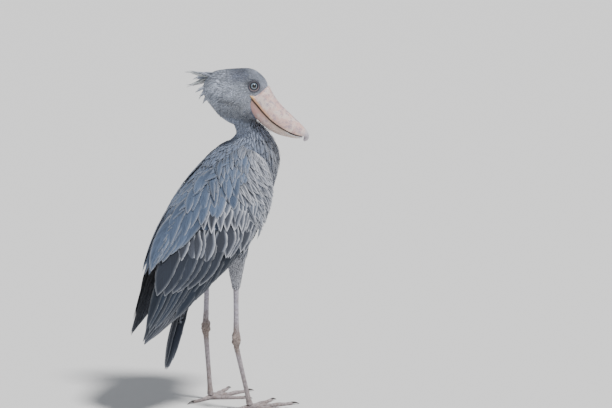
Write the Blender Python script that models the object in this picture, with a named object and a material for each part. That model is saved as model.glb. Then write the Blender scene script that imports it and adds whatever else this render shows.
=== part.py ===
"""Shoebill, standing, life size: a still model for Blender 4.5, in metres, +Z up.

The bird faces +X and its left side is +Y. Its head is turned to its right. The body, neck and
legs are lofts through named stations. Each folded wing is a curved sheet between three edge
curves, and its feathers are tiers of vanes laid on that sheet. The tail is a fan of vanes, and the
crest, nape and breast carry tapered locks. Pieces that touch keep GAP between them.
"""

import math
import random

import bpy
import bmesh
from mathutils import Matrix, Vector

# Driving dimensions
GAP = 0.00035  # clearance between touching pieces
FLAT_ANGLE = 0.006  # radians between faces that count as one flat
SHARP_ANGLE = math.radians(35.0)
TARSUS_LENGTH = 0.212
TARSUS_LEAN = {"right": math.radians(13.0), "left": math.radians(4.0)}
ANKLE_X = {"right": 0.016, "left": -0.016}
STANCE_HALF_WIDTH = 0.080
SOLE_TO_TARSUS = 0.014  # height of the foot joint above the floor
SIDE_SIGN = {"right": -1.0, "left": 1.0}

# Neck and torso: x, z, half width, depth to the front, depth to the back, and how far the front of
# the ring is raised, in degrees
NECK = (
    (0.072, 1.000, 0.044, 0.036, 0.042, 0),
    (0.088, 0.965, 0.045, 0.026, 0.044, 0),
    (0.104, 0.935, 0.048, 0.034, 0.047, 4),
    (0.118, 0.908, 0.058, 0.044, 0.052, 4),
    (0.122, 0.883, 0.070, 0.066, 0.076, 0),
)
TORSO = (
    (0.122, 0.883, 0.070, 0.066, 0.076, 0),
    (0.116, 0.845, 0.084, 0.090, 0.112, -12),
    (0.090, 0.790, 0.099, 0.108, 0.134, -22),
    (0.052, 0.725, 0.108, 0.116, 0.140, -28),
    (0.014, 0.655, 0.109, 0.114, 0.138, -29),
    (-0.022, 0.585, 0.100, 0.098, 0.128, -30),
    (-0.060, 0.515, 0.082, 0.072, 0.106, -31),
    (-0.098, 0.450, 0.058, 0.046, 0.070, -32),
    (-0.124, 0.408, 0.036, 0.026, 0.036, -32),
)
TORSO_SIDES = 24
TORSO_RINGS = 15
NECK_RINGS = 6

# Head: in its own frame, with its origin at the gape in the middle plane, +X to the bill
HEAD_ORIGIN = (0.1045, -0.0170, 1.0400)
HEAD_YAW = math.radians(-28.0)
# along, top, bottom, half width
HEAD = (
    (-0.149, 0.030, 0.002, 0.014),
    (-0.140, 0.052, -0.018, 0.031),
    (-0.120, 0.073, -0.045, 0.048),
    (-0.092, 0.082, -0.079, 0.060),
    (-0.058, 0.086, -0.100, 0.066),
    (-0.026, 0.087, -0.102, 0.061),
    (0.000, 0.085, -0.094, 0.0515),
    (0.020, 0.077, -0.086, 0.0460),
    (0.036, 0.064, -0.070, 0.037),
    (0.048, 0.050, -0.048, 0.028),
    (0.056, 0.034, -0.018, 0.016),
)
HEAD_SIDES, HEAD_RINGS = 24, 15

# Bill: along its own line from gape to tip, which points down from the head's level
BILL_DROP = math.radians(38.5)
# along, culmen height, mouth line height, half width
UPPER_BILL = (
    (-0.030, 0.010, 0.002, 0.044),
    (-0.006, 0.010, 0.001, 0.0505),
    (0.004, 0.014, -0.001, 0.0530),
    (0.012, 0.020, -0.0025, 0.0538),
    (0.018, 0.034, -0.004, 0.0540),
    (0.024, 0.052, -0.005, 0.0540),
    (0.032, 0.0575, -0.0065, 0.0540),
    (0.043, 0.0515, -0.009, 0.0540),
    (0.056, 0.0455, -0.012, 0.0540),
    (0.079, 0.0378, -0.016, 0.0535),
    (0.104, 0.0325, -0.019, 0.0520),
    (0.136, 0.0285, -0.0185, 0.0485),
    (0.164, 0.0258, -0.016, 0.0435),
    (0.187, 0.0230, -0.0112, 0.0370),
    (0.205, 0.0205, -0.0055, 0.0295),
    (0.219, 0.0170, 0.0000, 0.0205),
    (0.228, 0.0120, 0.0035, 0.0110),
)
# along, mouth line height, lower edge height, half width
LOWER_BILL = (
    (-0.030, 0.002, -0.036, 0.044),
    (0.000, 0.000, -0.040, 0.048),
    (0.034, -0.007, -0.0475, 0.0505),
    (0.064, -0.0135, -0.0505, 0.0510),
    (0.100, -0.0187, -0.0535, 0.0500),
    (0.126, -0.0190, -0.0525, 0.0475),
    (0.154, -0.0170, -0.0462, 0.0425),
    (0.179, -0.0130, -0.0355, 0.0355),
    (0.203, -0.0062, -0.0230, 0.0260),
    (0.218, -0.0010, -0.0115, 0.0150),
)
# The hooked nail: along, height, half width, half thickness
NAIL = (
    (0.202, 0.0130, 0.0130, 0.0060),
    (0.217, 0.0108, 0.0120, 0.0062),
    (0.2285, 0.0060, 0.0092, 0.0056),
    (0.2340, -0.0015, 0.0058, 0.0042),
    (0.2345, -0.0085, 0.0026, 0.0022),
)
NAIL_SIDES = 10
MOUTH_GAP = 0.0006
NOSTRIL_ALONG, NOSTRIL_LEFT = 0.042, 0.016  # middle of a slit, along the bill and from its ridge
NOSTRIL_LENGTH, NOSTRIL_HALF_WIDTH = 0.022, 0.0013
NOSTRIL_BELOW, NOSTRIL_REACH = 0.007, 0.001  # the cutter's floor and top, from the ridge's height

# Eye: place in the head's frame
EYE_ALONG, EYE_HEIGHT = 0.0120, 0.0335
EYE_RADIUS = 0.0120
BALL_SIDES, BALL_RINGS = 12, 8
EYE_SUNK = 0.0070  # how far the ball's centre lies under the feathers
LID_RADIUS, LID_THICKNESS = 0.0112, 0.0024
LID_SIDES = 12

# Folded wing: edge curves of the right wing, from the wrist to the tip
WING_LOW = (
    (0.124, -0.096, 0.815),
    (0.126, -0.116, 0.715),
    (0.058, -0.130, 0.585),
    (-0.055, -0.120, 0.478),
    (-0.176, -0.092, 0.365),
    (-0.300, -0.060, 0.262),
)
WING_MID = (
    (0.100, -0.096, 0.850),
    (0.038, -0.138, 0.765),
    (-0.032, -0.146, 0.665),
    (-0.122, -0.126, 0.555),
    (-0.213, -0.090, 0.430),
    (-0.306, -0.054, 0.268),
)
WING_TOP = (
    (0.064, -0.055, 0.880),
    (-0.022, -0.050, 0.828),
    (-0.118, -0.036, 0.745),
    (-0.208, -0.020, 0.630),
    (-0.268, -0.022, 0.480),
    (-0.312, -0.044, 0.285),
)
WING_CORE_END = 0.74  # how far the wing's flesh and small feathers reach along the sheet
WING_CORE_STEPS, WING_CORE_ROWS = 10, 8
WING_THICKNESS = 0.030

# Tiers of wing feathers: name, how many, half width, height of the root and of the tip over the
# sheet, lean in degrees, rings per vane, and the curves that their roots and their tips start from,
# both as shares along and across the sheet
WING_TIERS = (
    ("primary", 5, 0.0150, -0.0060, -0.0035, 9, 4,
     ((0.69, 0.16), (0.70, 0.40), (0.70, 0.66)),
     ((0.865, 0.04), (0.93, 0.04), (0.985, 0.14), (0.995, 0.60))),
    ("secondary", 5, 0.0185, -0.0040, 0.0012, 6, 4,
     ((0.38, 0.26), (0.49, 0.30), (0.60, 0.38)),
     ((0.56, 0.03), (0.70, 0.03), (0.84, 0.06))),
    ("inner", 4, 0.0240, -0.0040, 0.0030, 6, 4,
     ((0.46, 0.50), (0.54, 0.66), (0.62, 0.82)),
     ((0.715, 0.21), (0.80, 0.38), (0.86, 0.54), (0.89, 0.76))),
    ("greater", 6, 0.0180, -0.0030, 0.0048, 7, 4,
     ((0.30, 0.30), (0.37, 0.36), (0.44, 0.52), (0.53, 0.70), (0.56, 0.82)),
     ((0.435, 0.11), (0.515, 0.11), (0.57, 0.30), (0.645, 0.45), (0.675, 0.64))),
    ("median", 5, 0.0150, -0.0030, 0.0052, 8, 4,
     ((0.29, 0.24), (0.275, 0.46), (0.31, 0.60), (0.39, 0.82)),
     ((0.410, 0.08), (0.385, 0.30), (0.43, 0.45), (0.50, 0.68))),
    ("lesser_low", 4, 0.0145, -0.0030, 0.0045, 7, 3,
     ((0.20, 0.12), (0.19, 0.34), (0.20, 0.52), (0.24, 0.68)),
     ((0.305, 0.04), (0.29, 0.22), (0.30, 0.42), (0.34, 0.56))),
    ("lesser_mid", 3, 0.0150, -0.0030, 0.0040, 6, 3,
     ((0.10, 0.10), (0.09, 0.34), (0.11, 0.58)),
     ((0.205, 0.04), (0.19, 0.26), (0.21, 0.47))),
    ("lesser_top", 3, 0.0150, -0.0030, 0.0035, 6, 3,
     ((0.02, 0.10), (0.02, 0.32), (0.03, 0.54)),
     ((0.115, 0.06), (0.10, 0.27), (0.12, 0.46))),
    ("tertial", 4, 0.0240, -0.0035, 0.0055, 6, 4,
     ((0.40, 0.78), (0.43, 0.87), (0.45, 0.95)),
     ((0.665, 0.80), (0.72, 0.88), (0.77, 0.95), (0.79, 0.99))),
    ("scapular", 6, 0.0210, -0.0030, 0.0075, 6, 4,
     ((0.06, 0.80), (0.12, 0.86), (0.18, 0.93), (0.26, 0.97), (0.34, 0.98)),
     ((0.215, 0.60), (0.30, 0.59), (0.38, 0.62), (0.47, 0.72), (0.61, 0.86))),
)
VANE_EDGE, VANE_SHAFT = 0.0007, 0.0015  # thickness at the edge and over the shaft
VANE_RISE_POWER = 0.6
VANE_BOW = 0.02  # how far a wing feather bows across the sheet
VANE_OUTLINE = ((0.0, 0.42), (0.35, 0.86), (0.62, 1.0), (0.84, 0.82), (0.95, 0.50), (1.0, 0.20))

# Legs: half lengths are front to back
THIGH = (  # height, x, half length, half width
    (0.575, 0.026, 0.044, 0.036),
    (0.530, 0.024, 0.035, 0.031),
    (0.484, 0.021, 0.0270, 0.0245),
    (0.445, 0.020, 0.0195, 0.0180),
    (0.412, 0.019, 0.0130, 0.0120),
)
SHANK = (  # height, half length, half width
    (0.412, 0.0094, 0.0086),
    (0.380, 0.0084, 0.0078),
    (0.320, 0.0086, 0.0078),
    (0.282, 0.0100, 0.0090),
)
ANKLE_SHAPE = (  # share of the ankle's height, half length, half width
    (0.0, 0.0100, 0.0090),
    (0.3, 0.0140, 0.0122),
    (0.6, 0.0148, 0.0128),
    (1.0, 0.0092, 0.0082),
)
ANKLE_HEIGHT = 0.052
TARSUS_SHAPE = (  # share of the tarsus, half length, half width
    (0.0, 0.0092, 0.0082),
    (0.3, 0.0080, 0.0070),
    (0.8, 0.0080, 0.0070),
    (1.0, 0.0112, 0.0110),
)
LEG_SIDES = 10

# Toes: direction from straight ahead in degrees, length, radius at the root and at the tip, joints
TOES = {
    "middle": (2.0, 0.150, 0.0078, 0.0052, 3),
    "inner": (-30.0, 0.116, 0.0074, 0.0050, 2),
    "outer": (31.0, 0.124, 0.0074, 0.0050, 4),
    "hind": (186.0, 0.072, 0.0068, 0.0048, 1),
}
FOOT_TURN = {"right": math.radians(-6.0), "left": math.radians(5.0)}
TOE_SIDES = 8
CLAW_LENGTH, CLAW_RADIUS = 0.024, 0.0042

# Tail: root, tip of the middle feathers, and the fan
TAIL_ROOT = (-0.116, 0.0, 0.420)
TAIL_TIP = (-0.200, 0.0, 0.150)
TAIL_FEATHERS = 12
TAIL_SPACING_ROOT, TAIL_SPACING_TIP = 0.0042, 0.0058
TAIL_FEATHER_HALF = 0.0175
TAIL_CORE_END = 0.42

# Locks: how many, half width
CREST_COUNT, CREST_HALF = 9, 0.0046
CREST_LONGEST, CREST_SHORTEST = 0.092, 0.036
NAPE_ROWS, NAPE_PER_ROW, NAPE_HALF = 2, 4, 0.0105
NECK_LOCKS, NECK_LOCK_HALF = 10, 0.0105
BREAST_ROWS, BREAST_PER_ROW, BREAST_HALF = 2, 6, 0.0140
MANTLE_ROWS, MANTLE_PER_ROW, MANTLE_HALF = 2, 3, 0.0170
LOCK_OUTLINE = ((0.0, 0.75), (0.35, 1.0), (0.7, 0.7), (1.0, 0.10))
LOCK_THICKNESS = 0.0018
LOCK_SINK, LOCK_RISE = -0.0025, 0.0040  # height of a lock's root and tip over the surface
SEED = 13

COLOURS = {  # base colour and roughness
    "plumage": ((0.27, 0.30, 0.36), 0.75),
    "flight": ((0.10, 0.12, 0.16), 0.60),
    "bill": ((0.72, 0.55, 0.48), 0.45),
    "eye": ((0.55, 0.62, 0.64), 0.10),
    "leg": ((0.34, 0.30, 0.31), 0.65),
    "claw": ((0.08, 0.07, 0.07), 0.40),
}


def clear_scene():
    """Removes every object of the scene that the script starts in."""
    for old in list(bpy.data.objects):
        bpy.data.objects.remove(old, do_unlink=True)


def make_materials():
    """One Principled material for each entry of COLOURS."""
    made = {}
    for name, (colour, roughness) in COLOURS.items():
        material = bpy.data.materials.new(name)
        material.use_nodes = True
        shader = material.node_tree.nodes["Principled BSDF"]
        shader.inputs["Base Color"].default_value = (*colour, 1.0)
        shader.inputs["Roughness"].default_value = roughness
        shader.inputs["Metallic"].default_value = 0.0
        made[name] = material
    return made


def along(rows, share):
    """The row of numbers at a share, 0 to 1, of a smooth curve through rows."""
    spans = len(rows) - 1
    place = min(max(share, 0.0), 1.0) * spans
    i = min(int(place), spans - 1)
    f = place - i
    p1, p2 = rows[i], rows[i + 1]
    p0 = rows[i - 1] if i > 0 else [2 * a - b for a, b in zip(p1, p2)]
    p3 = rows[i + 2] if i + 2 <= spans else [2 * b - a for a, b in zip(p1, p2)]
    return [
        b + 0.5 * f * (c - a + f * (2 * a - 5 * b + 4 * c - d + f * (3 * b - a - 3 * c + d)))
        for a, b, c, d in zip(p0, p1, p2, p3)
    ]


def along_column(rows, first, column):
    """The number in a column where the rows' first number has a given value."""
    for a, b in zip(rows, rows[1:]):
        if a[0] <= first <= b[0]:
            return a[column] + (b[column] - a[column]) * (first - a[0]) / (b[0] - a[0])
    return rows[-1][column]


def shares(count):
    """count numbers evenly from 0 to 1."""
    return [i / (count - 1) for i in range(count)]


def add_mesh(name, points, faces, material):
    """An object from points and triangles, turned to face outwards."""
    mesh = bpy.data.meshes.new(name)
    mesh.from_pydata([tuple(p) for p in points], [], faces)
    work = bmesh.new()
    work.from_mesh(mesh)
    bmesh.ops.recalc_face_normals(work, faces=work.faces)
    work.to_mesh(mesh)
    work.free()
    made = bpy.data.objects.new(name, mesh)
    bpy.context.scene.collection.objects.link(made)
    made.data.materials.append(material)
    return made


def cap_faces(sides):
    """Triangles that close a ring in strips from side to side."""
    faces = []
    low, high = 0, sides - 1
    while high - low > 1:
        faces.append((low, low + 1, high))
        low += 1
        if high - low > 1:
            faces.append((low, high - 1, high))
            high -= 1
    return faces


def skin_rings(name, rings, material, closed=False):
    """A closed mesh through rings of equally many points: capped, or closed into a loop."""
    sides = len(rings[0])
    points = [p for ring in rings for p in ring]
    total = len(points)
    faces = []
    for r in range(len(rings) if closed else len(rings) - 1):
        for k in range(sides):
            a, b = r * sides + k, r * sides + (k + 1) % sides
            faces.append((a, b, (b + sides) % total))
            faces.append((a, (b + sides) % total, (a + sides) % total))
    if not closed:
        for first in (0, total - sides):
            faces += [[first + k for k in face] for face in cap_faces(sides)]
    return add_mesh(name, points, faces, material)


def oval(centre, ahead, side, front, back, half_width, sides, squareness=2.0):
    """A ring round centre: front and back are its reach along ahead and against it."""
    ring = []
    for k in range(sides):
        angle = 2 * math.pi * k / sides
        c, s = math.cos(angle), math.sin(angle)
        c = math.copysign(abs(c) ** (2 / squareness), c)
        s = math.copysign(abs(s) ** (2 / squareness), s)
        reach = front if c > 0 else back
        ring.append(centre + ahead * (c * reach) + side * (s * half_width))
    return ring


def body_ring(rows, share, sides):
    """A ring of the neck or torso."""
    x, z, half_width, front, back, tilt = along(rows, share)
    tilt = math.radians(tilt)
    ahead = Vector((math.cos(tilt), 0.0, math.sin(tilt)))
    return oval(Vector((x, 0.0, z)), ahead, Vector((0, 1, 0)), front, back, half_width, sides)


def body_point(rows, share, angle, lift=0.0):
    """A place on the neck or torso: angle is 0 at the front and a quarter turn on the left."""
    x, z, half_width, front, back, tilt = along(rows, share)
    tilt = math.radians(tilt)
    ahead = Vector((math.cos(tilt), 0.0, math.sin(tilt)))
    c, s = math.cos(angle), math.sin(angle)
    reach = front if c > 0 else back
    outward = (ahead * (c / reach) + Vector((0, s / half_width, 0))).normalized()
    centre = Vector((x, 0.0, z))
    return centre + ahead * (c * reach) + Vector((0, s * half_width, 0)) + outward * lift


def outline_half(outline, share):
    """Half width of a vane or lock at a share of its length, as a share of its widest."""
    for (t0, h0), (t1, h1) in zip(outline, outline[1:]):
        if share <= t1:
            return h0 + (h1 - h0) * (share - t0) / (t1 - t0)
    return outline[-1][1]


def vane_rings(centres, normals, halves, tilt):
    """Rings of a thin flat vane with a raised shaft, sloping down to one side."""
    rings = []
    last = len(centres) - 1
    for i, (centre, normal, half) in enumerate(zip(centres, normals, halves)):
        ahead = (centres[min(i + 1, last)] - centres[max(i - 1, 0)]).normalized()
        side = ahead.cross(normal).normalized()
        up = side.cross(ahead)
        across = side * math.cos(tilt) + up * math.sin(tilt)
        out = up * math.cos(tilt) - side * math.sin(tilt)
        shaft = VANE_SHAFT + (VANE_EDGE - VANE_SHAFT) * i / last
        left, right = centre - across * half, centre + across * half
        edge = out * VANE_EDGE
        rings.append([left, right, right + edge, centre + out * shaft, left + edge])
    return rings


def lock_rings(centres, normals, half_width):
    """Rings of a flat tapered lock."""
    rings = []
    last = len(centres) - 1
    for i, (centre, normal) in enumerate(zip(centres, normals)):
        ahead = (centres[min(i + 1, last)] - centres[max(i - 1, 0)]).normalized()
        side = ahead.cross(normal).normalized()
        up = side.cross(ahead)
        size = outline_half(LOCK_OUTLINE, i / last)
        wide, thick = side * half_width * size, up * LOCK_THICKNESS / 2 * (0.4 + 0.6 * size)
        rings.append([centre - wide, centre - thick, centre + wide, centre + thick])
    return rings


def keep_largest(obj):
    """Drops every closed surface of the mesh but the largest."""
    work = bmesh.new()
    work.from_mesh(obj.data)
    left = set(work.faces)
    groups = []
    while left:
        group, front = set(), [left.pop()]
        while front:
            face = front.pop()
            group.add(face)
            for edge in face.edges:
                for other in edge.link_faces:
                    if other in left:
                        left.discard(other)
                        front.append(other)
        groups.append(group)
    best = max(groups, key=lambda g: sum(f.calc_area() for f in g))
    loose = [f for g in groups if g is not best for f in g]
    bmesh.ops.delete(work, geom=loose, context="FACES")
    work.to_mesh(obj.data)
    work.free()


def tidy(obj):
    """Joins the flat splits that a Boolean leaves, and parts the faces into triangles again."""
    work = bmesh.new()
    work.from_mesh(obj.data)
    bmesh.ops.dissolve_limit(work, angle_limit=FLAT_ANGLE, verts=work.verts, edges=work.edges)
    bmesh.ops.triangulate(work, faces=work.faces)
    work.to_mesh(obj.data)
    work.free()


def apply_modifiers(obj):
    """Replaces the object's mesh by the one its modifiers make."""
    graph = bpy.context.evaluated_depsgraph_get()
    mesh = bpy.data.meshes.new_from_object(obj.evaluated_get(graph))
    obj.modifiers.clear()
    obj.data = mesh


def combine(obj, others, operation, solver="MANIFOLD"):
    """Joins others to obj, or cuts them from it, and removes them."""
    group = bpy.data.collections.new("operands")
    bpy.context.scene.collection.children.link(group)
    for other in others:
        group.objects.link(other)
    boolean = obj.modifiers.new(operation.title(), "BOOLEAN")
    boolean.operation = operation
    boolean.operand_type = "COLLECTION"
    boolean.collection = group
    boolean.solver = solver
    apply_modifiers(obj)
    for other in others:
        bpy.data.objects.remove(other, do_unlink=True)
    bpy.data.collections.remove(group)
    keep_largest(obj)
    tidy(obj)
    return obj


def swollen(obj, by=GAP):
    """A copy of obj with its surface moved out by a clearance, as a cutter."""
    copy = bpy.data.objects.new(obj.name + "_cutter", obj.data.copy())
    bpy.context.scene.collection.objects.link(copy)
    normals = [v.normal.copy() for v in copy.data.vertices]
    for vertex, normal in zip(copy.data.vertices, normals):
        vertex.co += normal * by
    return copy


def cut_clear(obj, *neighbours):
    """Cuts obj back from its neighbours, leaving GAP."""
    return combine(obj, [swollen(n) for n in neighbours], "DIFFERENCE")


def locks_on(place, spots, half_width, material):
    """Flat locks on a surface: each spot is where it starts, where it ends and the angle round."""
    made = []
    for start, end, angle in spots:
        centres, normals = [], []
        for t in shares(len(LOCK_OUTLINE)):
            share = start + (end - start) * t
            lift = LOCK_SINK + (LOCK_RISE - LOCK_SINK) * t
            centre = place(share, angle, lift)
            centres.append(centre)
            normals.append((place(share, angle, lift + 0.01) - centre).normalized())
        width = half_width * random.uniform(0.88, 1.12)
        made.append(skin_rings("lock", lock_rings(centres, normals, width), material))
    return made


def rows_of_spots(rows, per_row, middle, spread, starts, length):
    """Spots in staggered rows round a middle angle."""
    spots = []
    for row in range(rows):
        for k in range(per_row):
            angle = middle + spread * ((k + 0.5 * (row % 2) + 0.25) / (per_row - 0.5) - 0.5)
            reach = length * random.uniform(0.85, 1.1)
            spots.append((starts[row], starts[row] + reach, angle))
    return spots


def make_torso(materials):
    """The body, with plumes on the breast and broad locks on the mantle."""
    rings = [body_ring(TORSO, t, TORSO_SIDES) for t in shares(TORSO_RINGS)]
    torso = skin_rings("torso", rings, materials["plumage"])

    def place(share, angle, lift):
        return body_point(TORSO, share, angle, lift)

    breast = rows_of_spots(BREAST_ROWS, BREAST_PER_ROW, 0.0, math.radians(128), (0.02, 0.10), 0.13)
    mantle = rows_of_spots(MANTLE_ROWS, MANTLE_PER_ROW, math.pi, math.radians(66), (0.03, 0.13), 0.15)
    locks = locks_on(place, breast, BREAST_HALF, materials["plumage"])
    locks += locks_on(place, mantle, MANTLE_HALF, materials["plumage"])
    return combine(torso, locks, "UNION")


def make_neck(materials):
    """The neck, with a ring of plumes over its base."""
    rings = [body_ring(NECK, t, TORSO_SIDES) for t in shares(NECK_RINGS)]
    rings[-1] = [p + Vector((0, 0, GAP)) for p in rings[-1]]
    neck = skin_rings("neck", rings, materials["plumage"])

    def place(share, angle, lift):
        return body_point(NECK, share, angle, lift)

    turn = 2 * math.pi / NECK_LOCKS
    spots = [(0.58, random.uniform(0.90, 0.96), turn * (k + 0.5)) for k in range(NECK_LOCKS)]
    return combine(neck, locks_on(place, spots, NECK_LOCK_HALF, materials["plumage"]), "UNION")


def head_point(forward, left, up):
    """A place given in the head's frame, as a world point."""
    c, s = math.cos(HEAD_YAW), math.sin(HEAD_YAW)
    x, y, z = HEAD_ORIGIN
    return Vector((x + forward * c - left * s, y + forward * s + left * c, z + up))


def bill_point(forward, left, up):
    """A place given along the bill's own line, as a world point."""
    c, s = math.cos(BILL_DROP), math.sin(BILL_DROP)
    return head_point(forward * c + up * s, left, up * c - forward * s)


def head_half_width(forward, up):
    """Half the head's width at a place in its frame."""
    i = max(k for k in range(len(HEAD) - 1) if HEAD[k][0] <= forward)
    f = (forward - HEAD[i][0]) / (HEAD[i + 1][0] - HEAD[i][0])
    _, top, bottom, half_width = [a + (b - a) * f for a, b in zip(HEAD[i], HEAD[i + 1])]
    middle, reach = (top + bottom) / 2, (top - bottom) / 2
    return half_width * math.sqrt(max(0.0, 1 - ((up - middle) / reach) ** 2))


def head_place(share, angle, lift=0.0):
    """A place on the head: share from back to front, angle 0 at the top, a quarter turn on the left."""
    forward, top, bottom, half_width = along(HEAD, share)
    reach = (top - bottom) / 2
    up = (top + bottom) / 2 + (reach + lift) * math.cos(angle)
    return head_point(forward, (half_width + lift) * math.sin(angle), up)


def cheek(side, forward, up):
    """A place on the side of the head, and the direction out of it."""
    sign, step = SIDE_SIGN[side], 0.003

    def at(f, u):
        return head_point(f, sign * head_half_width(f, u), u)

    run = at(forward + step, up) - at(forward - step, up)
    rise = at(forward, up + step) - at(forward, up - step)
    return at(forward, up), run.cross(rise).normalized() * -sign


def eye_centre(side):
    """The middle of an eyeball, sunk in the side of the head."""
    place, out = cheek(side, EYE_ALONG, EYE_HEIGHT)
    return place - out * EYE_SUNK


def make_lid(side, materials):
    """A ring of skin round the eye."""
    place, out = cheek(side, EYE_ALONG, EYE_HEIGHT)
    level = out.cross(Vector((0, 0, 1))).normalized()
    rise = level.cross(out)
    rings = []
    for k in range(LID_SIDES):
        turn = 2 * math.pi * k / LID_SIDES
        spoke = level * math.cos(turn) + rise * math.sin(turn)
        centre = place + spoke * LID_RADIUS - out * 0.0004
        rings.append(oval(centre, out, spoke, LID_THICKNESS * 0.8, LID_THICKNESS * 0.8, LID_THICKNESS, 5))
    return skin_rings("lid", rings, materials["plumage"], closed=True)


def make_crest(materials):
    """The tuft at the back of the crown, feather by feather."""
    locks = []
    for k in range(CREST_COUNT):
        share = k / (CREST_COUNT - 1)
        angle = math.radians(12 - 82 * share)
        length = CREST_SHORTEST + (CREST_LONGEST - CREST_SHORTEST) * (1 - share) ** 1.4
        length *= 0.72 if k % 3 == 2 else random.uniform(0.94, 1.06)
        left = ((5 * k) % 7 - 3) * 0.0046
        forward, up = -0.117 - 0.024 * share**0.7, 0.066 - 0.050 * share
        centres, normals = [], []
        for t in shares(len(LOCK_OUTLINE)):
            run = length * t
            drop = 0.10 * length * t * t
            place = (forward - run * math.cos(angle), left * (1 + 0.8 * t), up + run * math.sin(angle) - drop)
            centres.append(head_point(*place))
            normals.append(head_point(math.sin(angle), left * 8, math.cos(angle)) - head_point(0, 0, 0))
        locks.append(skin_rings("lock", lock_rings(centres, normals, CREST_HALF), materials["plumage"]))
    return locks


def make_head(materials):
    """The feathered head, with lids, crest and nape."""
    turn = 2 * math.pi / HEAD_SIDES
    rings = [[head_place(t, turn * k) for k in range(HEAD_SIDES)] for t in shares(HEAD_RINGS)]
    head = skin_rings("head", rings, materials["plumage"])
    pieces = make_crest(materials)
    nape = rows_of_spots(NAPE_ROWS, NAPE_PER_ROW, math.pi, math.radians(190), (0.10, 0.20), 0.19)
    pieces += locks_on(head_place, nape, NAPE_HALF, materials["plumage"])
    for side in SIDE_SIGN:
        pieces.append(make_lid(side, materials))
    return combine(head, pieces, "UNION")


def add_ball(name, centre, radius, material):
    """A ball, as an eye or the cutter of its socket."""
    mesh = bpy.data.meshes.new(name)
    work = bmesh.new()
    bmesh.ops.create_uvsphere(work, u_segments=BALL_SIDES, v_segments=BALL_RINGS, radius=radius)
    bmesh.ops.translate(work, verts=work.verts, vec=centre)
    work.to_mesh(mesh)
    work.free()
    made = bpy.data.objects.new(name, mesh)
    bpy.context.scene.collection.objects.link(made)
    made.data.materials.append(material)
    return made


def make_upper_bill(materials):
    """Ridged upper half of the bill, with its nail."""
    rings = []
    for share in shares(17):
        forward, top, mouth, half_width = along(UPPER_BILL, share)
        ring = []
        arch = 12
        for k in range(arch + 1):
            angle = math.pi * k / arch
            c, s = math.cos(angle), math.sin(angle)
            left = half_width * math.copysign(abs(c) ** 0.82, c)
            up = mouth + (top - mouth) * s**0.88
            ring.append(bill_point(forward, left, up))
        for k in (1, 2, 3):
            left = half_width * (-1 + k / 2)
            ring.append(bill_point(forward, left, mouth + 0.0015))
        rings.append(ring)
    bill = skin_rings("upper_bill", rings, materials["bill"])
    combine(bill, [make_nail(materials)], "UNION")
    return combine(bill, [make_nostril(sign, materials) for sign in (-1, 1)], "DIFFERENCE")


def make_nostril(sign, materials):
    """A cutter for one slit beside the ridge of the bill."""
    rings = []
    for share in shares(5):
        t = 2 * share - 1
        forward = NOSTRIL_ALONG + t * NOSTRIL_LENGTH / 2
        top = along_column(UPPER_BILL, forward, 1)
        half = NOSTRIL_HALF_WIDTH * math.sqrt(max(0.15, 1 - t * t))
        left = sign * (NOSTRIL_LEFT + 0.002 * t)
        low, high = top - NOSTRIL_BELOW, top + NOSTRIL_REACH
        corners = ((-half, low), (half, low), (half, high), (-half, high))
        rings.append([bill_point(forward, left + out, up) for out, up in corners])
    return skin_rings("nostril", rings, materials["bill"])


def make_nail(materials):
    """The hook at the tip of the upper bill."""
    rings = []
    for share in shares(8):
        forward, up, half_width, half_thickness = along(NAIL, share)
        before, after = along(NAIL, max(share - 0.02, 0)), along(NAIL, min(share + 0.02, 1))
        run, rise = after[0] - before[0], after[1] - before[1]
        length = math.hypot(run, rise)
        ring = []
        for k in range(NAIL_SIDES):
            angle = 2 * math.pi * k / NAIL_SIDES
            out = half_thickness * math.cos(angle) / length
            ring.append(bill_point(forward - rise * out, half_width * math.sin(angle), up + run * out))
        rings.append(ring)
    return skin_rings("nail", rings, materials["bill"])


def make_lower_bill(materials):
    """Boat-shaped lower half of the bill."""
    rings = []
    for share in shares(14):
        forward, mouth, bottom, half_width = along(LOWER_BILL, share)
        mouth -= MOUTH_GAP
        ring = []
        arch = 10
        for k in range(arch + 1):
            angle = math.pi * k / arch
            c, s = math.cos(angle), math.sin(angle)
            left = half_width * math.copysign(abs(c) ** 0.75, c)
            up = mouth + (bottom - mouth) * s**0.9
            ring.append(bill_point(forward, left, up))
        for k in (1, 2, 3):
            ring.append(bill_point(forward, half_width * (-1 + k / 2), mouth))
        rings.append(ring)
    return skin_rings("lower_bill", rings, materials["bill"])


def wing_sheet(share, chord):
    """A place on the right wing's sheet: share from wrist to tip, chord from lower to upper edge."""
    low, middle, top = (Vector(along(edge, share)) for edge in (WING_LOW, WING_MID, WING_TOP))
    c = chord
    return low * (1 - c) * (1 - 2 * c) + middle * 4 * c * (1 - c) + top * c * (2 * c - 1)


def wing_normal(share, chord):
    """The direction out of the right wing's sheet."""
    step = 0.01
    ahead = wing_sheet(min(share + step, 1), chord) - wing_sheet(max(share - step, 0), chord)
    across = wing_sheet(share, chord + step) - wing_sheet(share, chord - step)
    return across.cross(ahead).normalized()


def wing_inner(share, chord, thickness):
    """A place on the wing's inner face, the thickness in from its sheet."""
    outer, inside = wing_sheet(share, chord), wing_sheet(share, 0.5)
    inside.y = 0.0
    return outer + (inside - outer).normalized() * thickness


def sided(rings, side):
    """Rings made for the right side, mirrored if they are for the left."""
    if side == "right":
        return rings
    return [[Vector((p.x, -p.y, p.z)) for p in ring] for ring in rings]


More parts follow.
